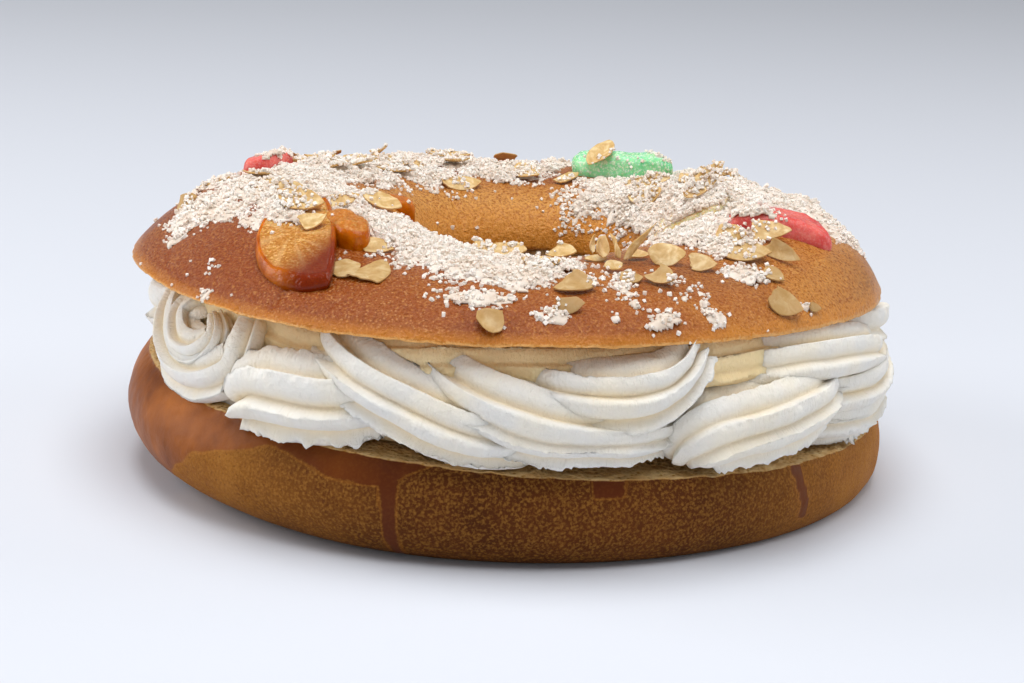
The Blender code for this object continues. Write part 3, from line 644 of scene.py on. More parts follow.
def rope_mesh(stops, seed, ridges=8, steps=16, depth=0.3, twist=0.5, pull=2.0, stagger=0.0, torn=1.0,
              fine=0.5):
    """A rope of cream from a star nozzle. Stops are (angle, radius, height, size), degrees and millimetres;
    pull and stagger say how far the ridges' far tips and near ends differ, in millimetres."""
    route = smooth_route([
        (r * math.cos(math.radians(a)), r * math.sin(math.radians(a)), z, size) for a, r, z, size in stops
    ], steps) * MM
    path, size = route[:, :3], np.maximum(route[:, 3], 0.4 * MM)
    length = np.concatenate([[0], np.cumsum(np.linalg.norm(np.diff(path, axis=0), axis=1))])
    even = np.linspace(0, length[-1], max(12, int(length[-1] / (fine * MM))))
    path = np.stack([np.interp(even, length, path[:, axis]) for axis in range(3)], axis=-1)
    size = np.interp(even, length, size)
    share = even / even[-1]
    along = np.gradient(path, axis=0)
    along /= np.linalg.norm(along, axis=1)[:, None]
    side = np.cross(along[0], (0, 0, 1.0))
    side /= np.linalg.norm(side)
    sides = []
    for direction in along:
        side = side - direction * np.dot(side, direction)
        side /= np.linalg.norm(side)
        sides.append(side)
    sides = np.array(sides)
    tops = np.cross(sides, along)
    downward = -1 if stops[-1][0] > stops[0][0] else 1
    around = len(RIDGE)
    count = ridges * around
    place = np.tile(RIDGE[:, 0], ridges)
    drop = np.tile(RIDGE[:, 1], ridges)
    crest = np.clip(1 - np.minimum(place * 0.9, (1 - place) * 2.2) / 0.2, 0, 1) ** 1.3
    rng = np.random.default_rng(seed)
    width = rng.uniform(0.8, 1.25, ridges)
    starts = np.concatenate([[0], np.cumsum(width)]) / width.sum()
    turn = np.repeat(starts[:-1], around) + place * np.repeat(np.diff(starts), around)
    turn *= downward * 2 * math.pi
    drop = drop * np.repeat(rng.uniform(0.75, 1.15, ridges), around)
    turned = turn[None, :] + twist * share[:, None] + rng.uniform(0, 2 * math.pi)
    ridge = np.repeat(np.arange(ridges), around)
    beside = np.stack(np.broadcast_arrays(even[:, None], ridge[None, :] * 0.05, 0.0), axis=-1)
    turned = turned + 0.1 * lumps(beside.reshape(-1, 3), 13 * MM, seed + 8).reshape(turned.shape)
    tail = np.clip((share - 0.8) / 0.2, 0, 1) ** 2 * min(1.0, pull / 3)
    head = np.clip((0.12 - share) / 0.12, 0, 1) ** 2 * min(1.0, stagger / 3)
    deep = depth * (1 + 1.3 * tail + 0.9 * head)[:, None] * drop[None, :]
    radius = size[:, None] * (1 - np.minimum(deep, 0.9))
    ring = np.cos(turned)[..., None] * sides[:, None, :] + np.sin(turned)[..., None] * tops[:, None, :]
    points = path[:, None, :] + ring * radius[..., None]
    flat = points.reshape(-1, 3)
    patchy = np.clip(0.65 + 0.9 * lumps(flat, 9 * MM, seed + 5), 0.15, 1.3)
    ragged = 0.5 * np.clip(lumps(flat, 1.3 * MM, seed + 1), -0.3, 1) + 0.5 * lumps(flat, 3.2 * MM, seed + 4)
    ragged += 0.4 * lumps(flat, 0.7 * MM, seed + 9)
    under = np.clip(0.25 - np.sin(turned) * np.sign(tops[:, 2])[:, None], 0, 1)
    ragged = (ragged * patchy).reshape(radius.shape) * crest[None, :] * (1.0 + 1.4 * under) * MM * torn
    wave = bumps(flat, (0.45, 8, seed + 2)) + torn * bumps(flat, (0.2, 3, seed + 3), (0.08, 1.3, seed + 6))
    pulse = lumps(flat_places(even, 0 * even), 6 * MM, seed + 7) * 0.035 * size
    wave = wave.reshape(radius.shape) + pulse[:, None]
    points = points + ring * (wave - ragged)[..., None]
    proud = np.clip(1 - drop, 0, 1) ** 0.6
    tip = np.repeat(rng.uniform(0.1, 1.0, ridges), around) * proud * pull * MM
    start = np.repeat(rng.uniform(0.0, 1.0, ridges), around) * proud * stagger * MM
    reach = np.clip((share - 0.7) / 0.3, 0, 1) ** 2
    back = np.clip((0.3 - share) / 0.3, 0, 1) ** 2
    points += along[:, None, :] * (reach[:, None] * tip[None, :] - back[:, None] * start[None, :])[..., None]
    first = (path[0] + along[0] * 0.15 * size[0])[None, :]
    last = (path[-1] - along[-1] * 0.1 * size[-1])[None, :]
    rows = len(path)
    faces = [tuple(face) for face in sheet_faces(rows, count, False, True)]
    total, end = rows * count, (rows - 1) * count
    faces += [(total, (k + 1) % count, k) for k in range(count)]
    faces += [(total + 1, end + k, end + (k + 1) % count) for k in range(count)]
    if downward < 0:
        faces = [face[::-1] for face in faces]
    groove = np.tile(np.clip(drop, 0, 1), rows)
    traits = np.stack([groove, np.repeat(even + seed * 0.05, count), np.tile(ridge + place, rows)], axis=-1)
    return np.concatenate([points.reshape(-1, 3), first, last]), faces, np.concatenate([traits, traits[:2]])


# Ropes that face the front: stops of angle, radius, height and size, in degrees and millimetres
ROPES = {
    "fold": ([
        (193, 66, 49, 8), (196, 84, 52, 9), (199, 91, 45, 9.5), (205, 94, 38, 9.4), (212, 94.5, 35.8, 9.2),
        (219, 94.5, 37.5, 9), (224.5, 94, 42, 8.6), (226, 93.5, 47.5, 8), (225.5, 91, 52, 7),
    ], dict(twist=0.3, pull=0.5, torn=0.3)),
    "curl": ([
        (214, 70, 46, 7), (208, 86, 51, 7.5), (205, 92.5, 47, 7.2), (209, 95.5, 42.5, 6.6), (215, 96, 43, 6),
        (218.5, 95.5, 48, 4.6), (216, 94, 52, 3),
    ], dict(twist=0.2, pull=0.5, torn=0.3)),
    "first": ([
        (257, 70, 42, 9), (254, 85, 42, 10), (249.5, 93, 40.8, 11.4), (243.5, 97, 39.4, 12.6),
        (238.5, 98, 39, 13), (234, 98, 38.4, 12.6), (230.8, 98.5, 36.6, 11), (228.4, 98.5, 34, 8),
    ], dict(twist=-0.3, pull=3.5)),
    "second": ([
        (240, 70, 51, 9), (243, 87, 50.5, 10), (247, 94.5, 48.3, 10.8), (252.5, 98, 44.6, 10.8),
        (258.5, 99, 40.2, 10.6), (265, 98.5, 36, 10.4), (271, 95, 34.2, 9.4), (277, 86, 35, 8),
    ], dict(twist=0.45, stagger=3.0, pull=0.0)),
    "third": ([
        (257, 70, 50, 9), (260, 87, 49, 10), (264, 94.5, 46, 10.8), (269.5, 98, 42, 11.2),
        (275.5, 99.5, 38.5, 10.8), (282, 99.5, 36.5, 9.6), (288, 98.5, 35.2, 8.6), (293, 95, 34.5, 7.4),
        (297, 89, 34, 6),
    ], dict(twist=0.4, stagger=3.0, pull=0.0)),
    "rising": ([
        (269, 72, 47, 8), (273, 88, 46, 9.2), (278.5, 95.5, 45, 10.2), (284, 98.5, 44.5, 10.8),
        (289, 99.5, 45, 10.8), (293.5, 100, 47.5, 9.6), (296.5, 100, 51, 7.8), (298, 99.5, 54, 6.2),
    ], dict(twist=-0.4, pull=5.0)),
    "knob": ([
        (296, 70, 38, 7), (296, 84, 36.5, 7.6), (296.5, 90, 34.5, 7.4), (298, 93.5, 32.5, 6),
        (300, 94.5, 31, 4),
    ], dict(twist=0.2, pull=1.0, torn=0.4)),
    "rolled": ([
        (300, 94.5, 27.5, 6), (300, 96.5, 31, 9.4), (302, 99, 34, 11.4), (306.5, 100, 35.3, 11.8),
        (312, 100.8, 36.2, 11.8), (318, 101.2, 37.2, 11.2), (323, 100, 38, 9.8), (327, 97, 38.5, 7.6),
    ], dict(ridges=9, twist=0.25, pull=0.0, torn=0.6)),
    "shoulder": ([
        (304, 72, 49, 8.4), (308, 88, 48.5, 9.4), (313.5, 95, 48.5, 10), (320, 98, 48.5, 10),
        (327, 99.5, 47.5, 10), (334, 100.5, 45.5, 9.6), (340.5, 101, 43, 8.8), (346, 100.5, 40.5, 7),
    ], dict(ridges=9, twist=0.5, stagger=2.0, pull=1.5, torn=0.7)),
    "hip": ([
        (321, 86, 40, 8), (325, 93.5, 38, 9.4), (330.5, 98.5, 37, 10.2), (337, 101, 36.5, 10.2),
        (344, 101.5, 37, 9.4), (350.5, 100.5, 38, 7.6), (355, 98, 39, 5.4),
    ], dict(ridges=9, twist=0.3, stagger=1.0, pull=2.0, torn=0.8)),
    "heel": ([
        (322, 86, 31.5, 7.5), (328, 94.5, 30.2, 8.6), (336, 99.5, 29.4, 9), (345, 101, 29.8, 8.4),
        (352, 99.5, 31, 6.6),
    ], dict(twist=0.3, stagger=1.0, pull=1.0)),
    "toe": ([
        (349, 86, 31, 7.5), (354, 94, 29.4, 8.6), (361, 98.3, 28.2, 9.2), (369, 99.2, 28, 9),
        (377, 98, 29, 7),
    ], dict(twist=0.3, stagger=1.0, pull=1.0)),
    "behind": ([
        (160, 72, 44, 8), (164, 86, 43, 9.5), (170, 90.5, 42, 10.8), (178, 91, 42, 11.2), (186, 90, 43, 10.5),
        (192, 86, 45, 8),
    ], dict(twist=0.3, pull=0.0, fine=0.7)),
    "far": ([
        (334, 72, 50, 8), (341, 88, 49, 9.4), (350, 95, 47.5, 10.4), (360, 97.5, 44.5, 10.8),
        (369, 97.5, 40.5, 10.2), (376, 95, 37, 8),
    ], dict(twist=0.3, pull=0.0)),
}
BACK_ROPES = 10
BACK_SPAN = (14, 160)


def back_rope(angle, lean, size):
    """A rope of the unseen side: out of the middle, round the outside, then under the next or up to its
    tips. It hangs lower towards +X, where the cut falls away."""
    deeper = max(0, math.cos(math.radians(angle)))
    size += 2 * deeper
    height = 40 - 3 * deeper
    return [
        (angle - 13, 70, height + 3, size * 0.8), (angle - 11, 86, height + 2 - lean * 3, size * 0.92),
        (angle - 6, 93.5, height - lean * 2, size), (angle + 1, 96, height + lean, size),
        (angle + 8, 95.5, height + lean * 4, size * 0.92), (angle + 13, 90, height + lean * 6, size * 0.75),
    ]


def inner_rope(radius, height, size, start, swell=0.0):
    """A rope laid right round the ring, further in; swell pushes it out where those before it leave gaps."""
    stops = []
    for step in range(25):
        angle = start + step * 15
        turn = math.radians(angle)
        out = swell * float(near(turn, 295, 2)) - 4.5 * float(near(turn, 206, 6))
        stops.append((angle, radius + out + 1.4 * math.sin(step * 1.7), height + math.cos(step * 2.3), size))
    return stops


FRONT_SEED, BACK_SEED, INNER_SEED = 100, 200, 300

# Ropes inside the others, right round the ring, and how each is piped
INNER_ROPES = [
    (inner_rope(89.8, 50.4, 7.8, 15, swell=4.4), dict(twist=8, depth=0.14)),
    (inner_rope(84, 36, 11, 7), dict(twist=-5)),
    (inner_rope(60, 43, 14, 4), dict(twist=4)),
]


# ---------------------------------------------------------------- toppings


class Ground:
    """What the toppings lie on: the surfaces built so far, found by a ray from above."""

    def __init__(self, objects):
        points, faces = [], []
        for obj in objects:
            start = len(points)
            points += [vert.co.copy() for vert in obj.data.vertices]
            faces += [[start + index for index in polygon.vertices] for polygon in obj.data.polygons]
        self.tree = BVHTree.FromPolygons(points, faces)

    def under(self, x, y, above=0.2):
        """Place and normal below a spot, or None over the hole."""
        place, normal, _, _ = self.tree.ray_cast(Vector((x, y, above)), Vector((0, 0, -1)))
        return (place, normal) if place is not None and place.z > UPPER_LOW.z + 0.5 * MM else None


def ring_spot(angle, radius):
    """X and Y of a place on the ring, from degrees and metres."""
    turn = math.radians(angle)
    return MIDDLE.x + radius * math.cos(turn), MIDDLE.y + radius * math.sin(turn)


def surfaces(*names):
    """Pieces that were made before, for the next ones to lie on."""
    missing = [name for name in names if name not in bpy.data.objects]
    if missing:
        raise RuntimeError("these pieces have to be made first: " + ", ".join(missing))
    return [bpy.data.objects[name] for name in names]


# Sections of candied pieces from the middle of the top to the foot: share of the outline, then share of the
# thickness
SLICE_SECTION = [
    (0.25, 0.86), (0.5, 0.88), (0.7, 0.92), (0.8, 0.96), (0.855, 0.985), (0.88, 0.96), (0.91, 0.99),
    (0.94, 0.985), (0.965, 0.93), (0.985, 0.8), (1.0, 0.6), (0.995, 0.4), (0.975, 0.2), (0.95, 0.0),
]
SLICE_LEAN = 1.5 * MM
FRUIT_SINK = 0.6 * MM  # how far a piece sits in the crust
CHUNK_SECTION = [
    (0.3, 1.0), (0.5, 0.99), (0.66, 0.97), (0.78, 0.93), (0.87, 0.86), (0.93, 0.76), (0.97, 0.64),
    (0.99, 0.5), (1.0, 0.36), (0.995, 0.2), (0.98, 0.0),
]


def fruit_slab(name, spot, heading, outline, thickness, finish, section=CHUNK_SECTION, lean=0.0, sides=140,
               flesh=0.0, burnt=None, level=0.0):
    """A piece of candied fruit bent over the crust, shrunken and uneven; lean tips its far end up, in metres,
    and level keeps its top from following the crust."""
    spin = math.radians(heading)
    turn = np.linspace(0, 2 * math.pi, sides, endpoint=False)
    fine = []
    for (r1, h1), (r2, h2) in zip(section, section[1:]):
        fine += [(r1 + (r2 - r1) * t / 3, h1 + (h2 - h1) * t / 3) for t in range(3)]
    profile = np.array(fine + [section[-1]])
    edge = np.array([outline(t) for t in turn])
    r, h = profile[:, 0][:, None], profile[:, 1][:, None]
    u, v = edge[None, :, 0] * r, edge[None, :, 1] * r
    x = spot[0] + u * math.cos(spin) - v * math.sin(spin)
    y = spot[1] + u * math.sin(spin) + v * math.cos(spin)
    base = crust_height(x - MIDDLE.x, y - MIDDLE.y) - FRUIT_SINK
    base = base + level * h * (base.mean() - base)
    flat = flat_places(x, y)
    uneven = (1 + 0.16 * lumps(flat, 6 * MM, 31) + 0.07 * lumps(flat, 2 * MM, 32)).reshape(x.shape)
    height = (thickness + FRUIT_SINK) * h * np.where(h > 0, uneven, 1)
    height = height + lean * h * (u / np.abs(edge[:, 0]).max() + 1) / 2
    points = np.stack([x, y, base + height], axis=-1).reshape(-1, 3)
    solid = points.reshape(len(profile), sides, 3)
    shrunken = bumps(points, (0.3, 3.2, 33)).reshape(x.shape) * np.clip((r - 0.6) / 0.3, 0, 1)
    solid[..., 0] += shrunken * math.cos(spin)
    solid[..., 1] += shrunken * math.sin(spin)
    hubs = [points[:sides].mean(0), points[-sides:].mean(0)]
    obj = build(name, np.concatenate([points, hubs]), tube_faces(len(profile), sides), finish)
    inside = np.broadcast_to(np.clip((0.89 - r) / 0.04, 0, 1) * (h > 0.8), x.shape).reshape(-1)
    store(obj, "flesh", np.concatenate([inside, [1, 0]]) * flesh)
    dark = np.zeros(len(points)) if burnt is None else burnt(points)
    store(obj, "burnt", np.concatenate([dark, [0, 0]]))
    spoke = 0.5 + 0.5 * np.cos(np.broadcast_to(turn[None, :] * 11, x.shape)).reshape(-1)
    store(obj, "spoke", np.concatenate([spoke ** 6, [0, 0]]) * flesh)
    return outward(obj)


def oval(length, width, square=1.0):
    """Outline of a rounded piece; square below 1 makes it boxier."""
    def outline(turn):
        c, s = math.cos(turn), math.sin(turn)
        ragged = 1 + 0.05 * math.sin(3 * turn + 1) + 0.03 * math.sin(5 * turn)
        return (
            math.copysign(abs(c) ** square, c) * length / 2 * ragged,
            math.copysign(abs(s) ** square, s) * width / 2 * ragged,
        )
    return outline


def strip(length, width, slant):
    """Outline of a cut strip: straight sides, one end cut on a slant."""
    def outline(turn):
        c, s = math.cos(turn), math.sin(turn)
        u = math.copysign(abs(c) ** 0.45, c) * length / 2
        v = math.copysign(abs(s) ** 0.45, s) * width / 2
        return (u + slant * v * (u > 0), v * (1 + 0.06 * math.sin(4 * turn + 0.6)))
    return outline


def half_round(length, width):
    """Outline of a half slice: the round rind towards +Y, the cut side on Y = 0."""
    def outline(turn):
        c, s = math.cos(turn), math.sin(turn)
        return (c * length / 2, (max(s, 0) ** 1.05 - 0.5 + 0.14 * min(s, 0)) * width)
    return outline


def flake_mesh(length, width, thick, rng, sides=26):
    """A flaked almond: a thin slice with a pointed end, cupped, often snapped across."""
    turn = np.linspace(0, 2 * math.pi, sides, endpoint=False)
    ragged = 1 + np.array([rng.uniform(-0.045, 0.03) for _ in turn])
    x = np.cos(turn) * length / 2 * ragged
    pointed = 1 - 0.55 * (x / (length / 2)) ** 3 * (x > 0)
    y = np.sin(turn) * width / 2 * ragged * pointed * (1 - 0.1 * np.cos(turn))
    if rng.random() < 0.65:
        limit, slant = rng.uniform(-0.42, -0.2) * length, rng.uniform(-0.6, 0.6)
        line = limit + slant * y + np.array([rng.uniform(-0.35, 0.35) for _ in turn]) * MM
        x = np.maximum(x, line)
    if rng.random() < 0.35:
        limit, slant = rng.uniform(0.24, 0.42) * width, rng.uniform(-0.3, 0.3)
        y = np.minimum(y, limit + slant * x)
    cup = rng.uniform(-0.6, 1.5) * MM / (length / 2) ** 2
    roll = rng.uniform(-0.4, 0.9) * MM / (width / 2) ** 2
    twist = rng.uniform(-0.5, 0.5) * MM / (length * width / 4)
    # Rings of the top: share of the outline, share of the thickness
    rings = [(0.4, 1.0), (0.75, 1.0), (0.93, 0.95), (1.0, 0.7)]
    points, toast = [], []
    for share, ease in rings + [(share, -ease) for share, ease in reversed(rings)]:
        px, py = x * share, y * share
        pz = cup * px ** 2 + roll * py ** 2 + twist * px * py + thick / 2 * ease
        points.append(np.stack([px, py, pz], axis=-1))
        toast += [share] * sides
    points = np.concatenate([*points, [(0, 0, thick / 2), (0, 0, -thick / 2)]])
    return points, tube_faces(2 * len(rings), sides), np.array(toast + [0, 0])


def place_on(points, place, normal, heading, tilt, rise, lift):
    """Turns a flat piece to a heading, rolls it by its tilt, raises its far end and sets it on a surface."""
    up = Vector(normal).normalized()
    east = Vector((1, 0, 0))
    east = (east - up * east.dot(up)).normalized()
    north = up.cross(east)
    base = Matrix((east, north, up)).transposed()
    turned = base @ Matrix.Rotation(math.radians(heading), 3, "Z")
    turned = turned @ Matrix.Rotation(math.radians(-rise), 3, "Y")
    turned = turned @ Matrix.Rotation(math.radians(tilt), 3, "X")
    return points @ np.array(turned).T + np.array(place + up * lift)


# Almond flakes that can be told apart: angle, radius in mm, heading, tilt, rise, length and width in mm
FLAKES = [
    (218, 71, -12, 10, 4, 14, 8.5), (228, 77, 15, 12, 5, 9, 7), (241, 71.5, -12, 22, 0, 10, 6),
    (242, 87, 28, 6, 0, 8, 9.5), (246.5, 87.5, 62, 4, 0, 16, 10.5), (199, 38, -30, 25, 0, 13, 8),
    (211, 55, 28, 30, 10, 13, 6), (201, 64, 15, 50, 0, 9, 6), (189, 70, 12, 8, 0, 13, 7),
    (110, 43, 15, 10, 0, 12, 7), (262, 52, -20, 40, 0, 10, 6), (270, 55, -10, 35, 0, 10, 7),
    (276, 71, 8, 8, 0, 12, 7), (281, 86, -10, 12, 3, 12, 9), (279, 95.5, 6, 30, 0, 9, 6),
    (268, 101, 40, 8, 0, 7, 8), (292, 58, 80, 75, 55, 6, 1.8), (291, 64, 10, 15, 0, 6, 4),
    (292, 65, 75, 55, 35, 8, 4.5), (294, 68, 110, 60, 50, 8, 3.5), (291, 76, 30, 15, 10, 5, 4.5),
    (299, 70, 20, 85, 50, 14, 2.2), (304, 74, -8, 42, 0, 10, 7), (308, 80.5, -5, 30, 0, 9, 6),
    (297, 85, -35, 35, 0, 10, 6), (292, 83.5, 15, 10, 0, 7, 5), (325, 71, -14, 45, 0, 11, 6),
    (320, 80, -4, 14, 4, 15, 10), (332, 77, 4, 30, 6, 15, 7), (326, 85, -32, 65, 0, 14, 5),
    (319, 91, -20, 10, 0, 7, 5.5), (315, 99.5, -12, 16, 0, 11, 8), (321, 102, 0, 10, 0, 4, 3),
    (4, 56, 28, 62, 14, 17, 6), (284, 58, -25, 30, 0, 9, 6), (300, 66, 0, 20, 0, 8, 4),
    (124, 58, -5, 14, 0, 14, 8), (134, 62, 10, 12, 0, 14, 8), (150, 66, 25, 15, 0, 12, 7),
    (172, 84, 40, 6, 0, 12, 8), (186, 90, -20, 25, 0, 9, 6),
]
BACK_FLAKES = 26
FLAKE_SEED = 5
FLAKE_CORNER = 40  # degrees between a flake's faces from which their edge looks sharp
BROWNED = (72, 88)  # radii in mm between which the oven browned the flakes more and more


# Places that stay clear of sugar: angle, radius in mm, reach in mm
BARE = [
    (344, 82, 11), (239, 95, 9), (233, 88, 7), (186, 33, 5), (225, 64, 4), (236, 70, 7), (70, 70, 9),
    (150, 72, 6),
]

# Fields of sugar: angle, radius in mm, half length round the ring and half width across it in mm, weight
SUGAR_FIELDS = [
    (228, 44, 12, 12, 1.0), (243, 52, 15, 15, 1.05), (262, 68, 22, 15, 1.0), (272, 80, 12, 8, 0.85),
    (265, 92, 12, 5, 0.55), (281, 70, 12, 7, 0.6), (289, 84, 8, 9, 0.5), (300, 92, 7, 10, 0.45),
    (294, 100, 5, 4, 0.5), (194, 84, 15, 10, 1.0), (190, 70, 16, 12, 1.05), (190, 54, 14, 12, 0.95),
    (205, 60, 16, 10, 0.8), (200, 95, 5, 4, 0.6), (172, 62, 20, 16, 0.9), (150, 58, 22, 16, 0.9),
    (125, 56, 20, 15, 0.85), (100, 60, 18, 12, 0.9), (86, 64, 12, 10, 0.7), (60, 50, 12, 12, 0.8),
    (40, 54, 18, 16, 1.1), (20, 58, 24, 20, 1.2), (0, 66, 24, 20, 1.1), (345, 72, 16, 12, 0.9),
    (330, 60, 16, 12, 0.95), (322, 72, 12, 9, 0.8), (314, 88, 8, 6, 0.75), (356, 90, 14, 8, 0.85),
    (38, 46, 14, 8, 0.9), (14, 84, 18, 12, 0.95), (40, 78, 20, 12, 0.8), (75, 82, 18, 10, 0.6),
    (110, 82, 18, 10, 0.7), (145, 84, 16, 9, 0.65), (172, 84, 12, 9, 0.6), (218, 98, 5, 3.5, 0.5),
    (222, 104, 4, 2.5, 0.6), (302, 101, 4, 3, 0.6), (235, 60, 9, 7, 0.7), (291, 96, 4, 4, 0.55),
    (277, 98, 5, 3, 0.5), (286, 99, 3, 2.5, 0.5), (292, 101, 3, 2.5, 0.5), (223, 76, 3, 2.5, 0.9),
    (206, 66, 10, 9, 1.2), (320, 102.5, 2.5, 2, 0.6), (214, 74, 10, 8, 1.1), (222, 79, 6, 4, 0.5),
]


def sugar_weight(x, y, seed=41):
    """How thick the sugar lies at places, from below 0 to about 1.3, ragged at the edges."""
    x, y = np.asarray(x) - MIDDLE.x, np.asarray(y) - MIDDLE.y
    angle, radius = np.degrees(np.arctan2(y, x)), np.hypot(x, y)
    total = np.full(x.shape, -1.0)
    for place, reach, length, width, weight in SUGAR_FIELDS:
        turn = (angle - place + 180) % 360 - 180
        along = np.radians(turn) * radius / (length * MM)
        across = (radius - reach * MM) / (width * MM)
        total = np.maximum(total, weight - (along ** 2 + across ** 2) * 0.75)
    for place, reach, size in BARE:
        turn = math.radians(place)
        off = np.hypot(x - reach * MM * math.cos(turn), y - reach * MM * math.sin(turn))
        total -= 1.4 * np.clip(1.3 - off / (size * MM), 0, 1)
    flat = flat_places(x, y)
    ragged = 0.6 * lumps(flat, 5.5 * MM, seed) + 0.5 * lumps(flat, 2.2 * MM, seed + 1)
    return total + ragged.reshape(x.shape) - 0.12


CRUST_WEIGHT = 0.22  # sugar thicker than this is fused to a layer
CRUST_THICKNESS = 0.5 * MM
CRUST_UPRIGHT = 0.5  # least upward part of the surface's normal where the layer holds
CRUST_STEP = 2.2  # greatest rise from point to point before the layer breaks, as a share of their distance


def sugar_crust(ground, finish, cell=0.55 * MM):
    """Moist sugar fused to a grainy layer that breaks up towards its edges."""
    size = int(230 * MM / cell)
    line = (np.arange(size) - size / 2) * cell
    x, y = np.meshgrid(MIDDLE.x + line, MIDDLE.y + line, indexing="ij")
    flat = flat_places(x, y)
    weight = sugar_weight(x, y)
    grain = (0.5 + 0.5 * lumps(flat, 1.0 * MM, 45)) * 0.9 + 1.5 * np.clip(lumps(flat, 4 * MM, 46), 0, 1)
    share = np.clip(0.5 + weight * 1.2, 0.5, 1)
    height = np.clip(weight, -0.4, 0.8) * 1.1 * MM + grain.reshape(x.shape) * MM * share - 0.55 * MM
    used = weight > CRUST_WEIGHT
    used[:-1] |= used[1:]
    used[:, :-1] |= used[:, 1:]
    index = np.full(x.shape, -1)
    points = []
    for i, j in zip(*np.nonzero(used)):
        found = ground.under(x[i, j], y[i, j])
        if found is None or found[1].z < CRUST_UPRIGHT:
            continue
        index[i, j] = len(points)
        points.append(found[0] + found[1] * float(height[i, j]))
    corner = [index[:-1, :-1], index[1:, :-1], index[1:, 1:], index[:-1, 1:]]
    whole = np.all([c >= 0 for c in corner], axis=0)
    faces = np.stack([c[whole] for c in corner], axis=-1)
    points = np.array(points)
    rise = np.ptp(points[:, 2][faces], axis=1)
    faces = faces[rise < CRUST_STEP * cell]
    used = np.unique(faces)
    renumber = np.full(len(points), -1)
    renumber[used] = np.arange(len(used))
    obj = build("sugar_crust", points[used], renumber[faces], finish)
    thicken = obj.modifiers.new("thickness", "SOLIDIFY")
    thicken.thickness = CRUST_THICKNESS
    thicken.offset = -1
    return obj


# Sugar crystals: a cube's corners and faces, the sizes that they come in and the radii that they fall
# between, in mm, how many places are tried for each one that is kept, and how upright the surface has to be
GRAIN = 0.6 * np.array(list(product((-1, 1), repeat=3)), dtype=float)
GRAIN_FACES = np.array([(0, 1, 3, 2), (4, 6, 7, 5), (0, 4, 5, 1), (2, 3, 7, 6), (0, 2, 6, 4), (1, 5, 7, 3)])
GRAIN_SIZES = (0.4, 0.48, 0.56, 0.66, 0.82)
GRAIN_SPAN = (26, 106)
GRAIN_TRIES = 14
GRAIN_UPRIGHT = 0.15
GRAIN_SEED = 77


def grain_chance(thick):
    """Chance that a crystal stays where the sugar has a thickness: rare on the bare crust."""
    if thick < -0.2:
        return 0.03 if thick >= -0.55 else 0.005
    return min(1.0, 0.32 + 0.6 * (thick + 0.2))


def sugar_grains(ground, finish, count):
    """Loose coarse crystals, most of them heaped where the sugar lies thick, a few strayed."""
    rng = random.Random(GRAIN_SEED)
    points, faces = [], []
    tries = range(count * GRAIN_TRIES)
    spots = [(rng.uniform(0, 360), rng.uniform(*GRAIN_SPAN), rng.random()) for _ in tries]
    places = np.array([ring_spot(angle, radius * MM) for angle, radius, _ in spots])
    weight = sugar_weight(*places.T)
    for (x, y), thick, (_, _, luck) in zip(places, weight, spots):
        if len(points) == count:
            break
        if luck > grain_chance(thick):
            continue
        found = ground.under(x, y)
        if found is None or found[1].z < GRAIN_UPRIGHT:
            continue
        size = rng.choice(GRAIN_SIZES) * MM
        stretch = np.array([rng.uniform(0.75, 1.2) for _ in range(3)])
        chipped = np.array([[rng.uniform(-0.12, 0.12) for _ in range(3)] for _ in GRAIN])
        spin = rng.uniform(0, 6.28)
        axis = Vector((rng.gauss(0, 1), rng.gauss(0, 1), rng.gauss(0, 1))).normalized()
        lift = max(0.0, thick) * rng.uniform(0.0, 0.6) * MM + 0.25 * size
        faces.append(GRAIN_FACES + len(points) * len(GRAIN))
        corners = (GRAIN * stretch + chipped) * size
        turn = np.array(Matrix.Rotation(spin, 3, axis))
        points.append(corners @ turn.T + np.array(found[0] + found[1] * lift))
    if not points:
        raise RuntimeError("no sugar crystal found the bread")
    return build("sugar_grains", np.concatenate(points), np.concatenate(faces), finish, smooth=False)


# ---------------------------------------------------------------- add-on


class BunLook(bpy.types.PropertyGroup):
    """Colours that a user would change, as sRGB hex codes."""

    crust_dark: bpy.props.StringProperty(
        name="Crust dark", description="Deeper brown of the upper crust", default="#7e3a02")
    crust_middle: bpy.props.StringProperty(
        name="Crust middle", description="Main brown of the upper crust", default="#9a4e08")
    crust_light: bpy.props.StringProperty(
        name="Crust light", description="Golden tone of the upper crust", default="#b26a12")
    side_dark: bpy.props.StringProperty(
        name="Side dark", description="Deeper brown of the lower side", default="#462004")
    side_light: bpy.props.StringProperty(
        name="Side light", description="Lighter brown of the lower side", default="#5f320d")
    glaze_dark: bpy.props.StringProperty(
        name="Glaze dark", description="Deep tone of the egg glaze", default="#68300c")
    glaze_light: bpy.props.StringProperty(
        name="Glaze light", description="Light tone of the egg glaze", default="#a45a1a")
    cream_white: bpy.props.StringProperty(
        name="Cream white", description="White of the cream", default="#e9e7e2")
    cream_warm: bpy.props.StringProperty(
        name="Cream warm", description="Warm tone of the cream", default="#f0e9da")


class BunSizes(bpy.types.PropertyGroup):
    """Sizes that a user would change."""

    lens: bpy.props.FloatProperty(
        name="Lens angle", description="Width of the camera's view", default=math.radians(20),
        subtype="ANGLE")
    floor: bpy.props.FloatProperty(
        name="Floor", description="Side of the studio floor", default=8.0, unit="LENGTH")
    grains: bpy.props.IntProperty(
        name="Sugar grains", description="Number of loose sugar crystals", default=16000)
    back_flakes: bpy.props.IntProperty(
        name="Back almonds", description="Almond flakes on the side away from the camera",
        default=BACK_FLAKES)


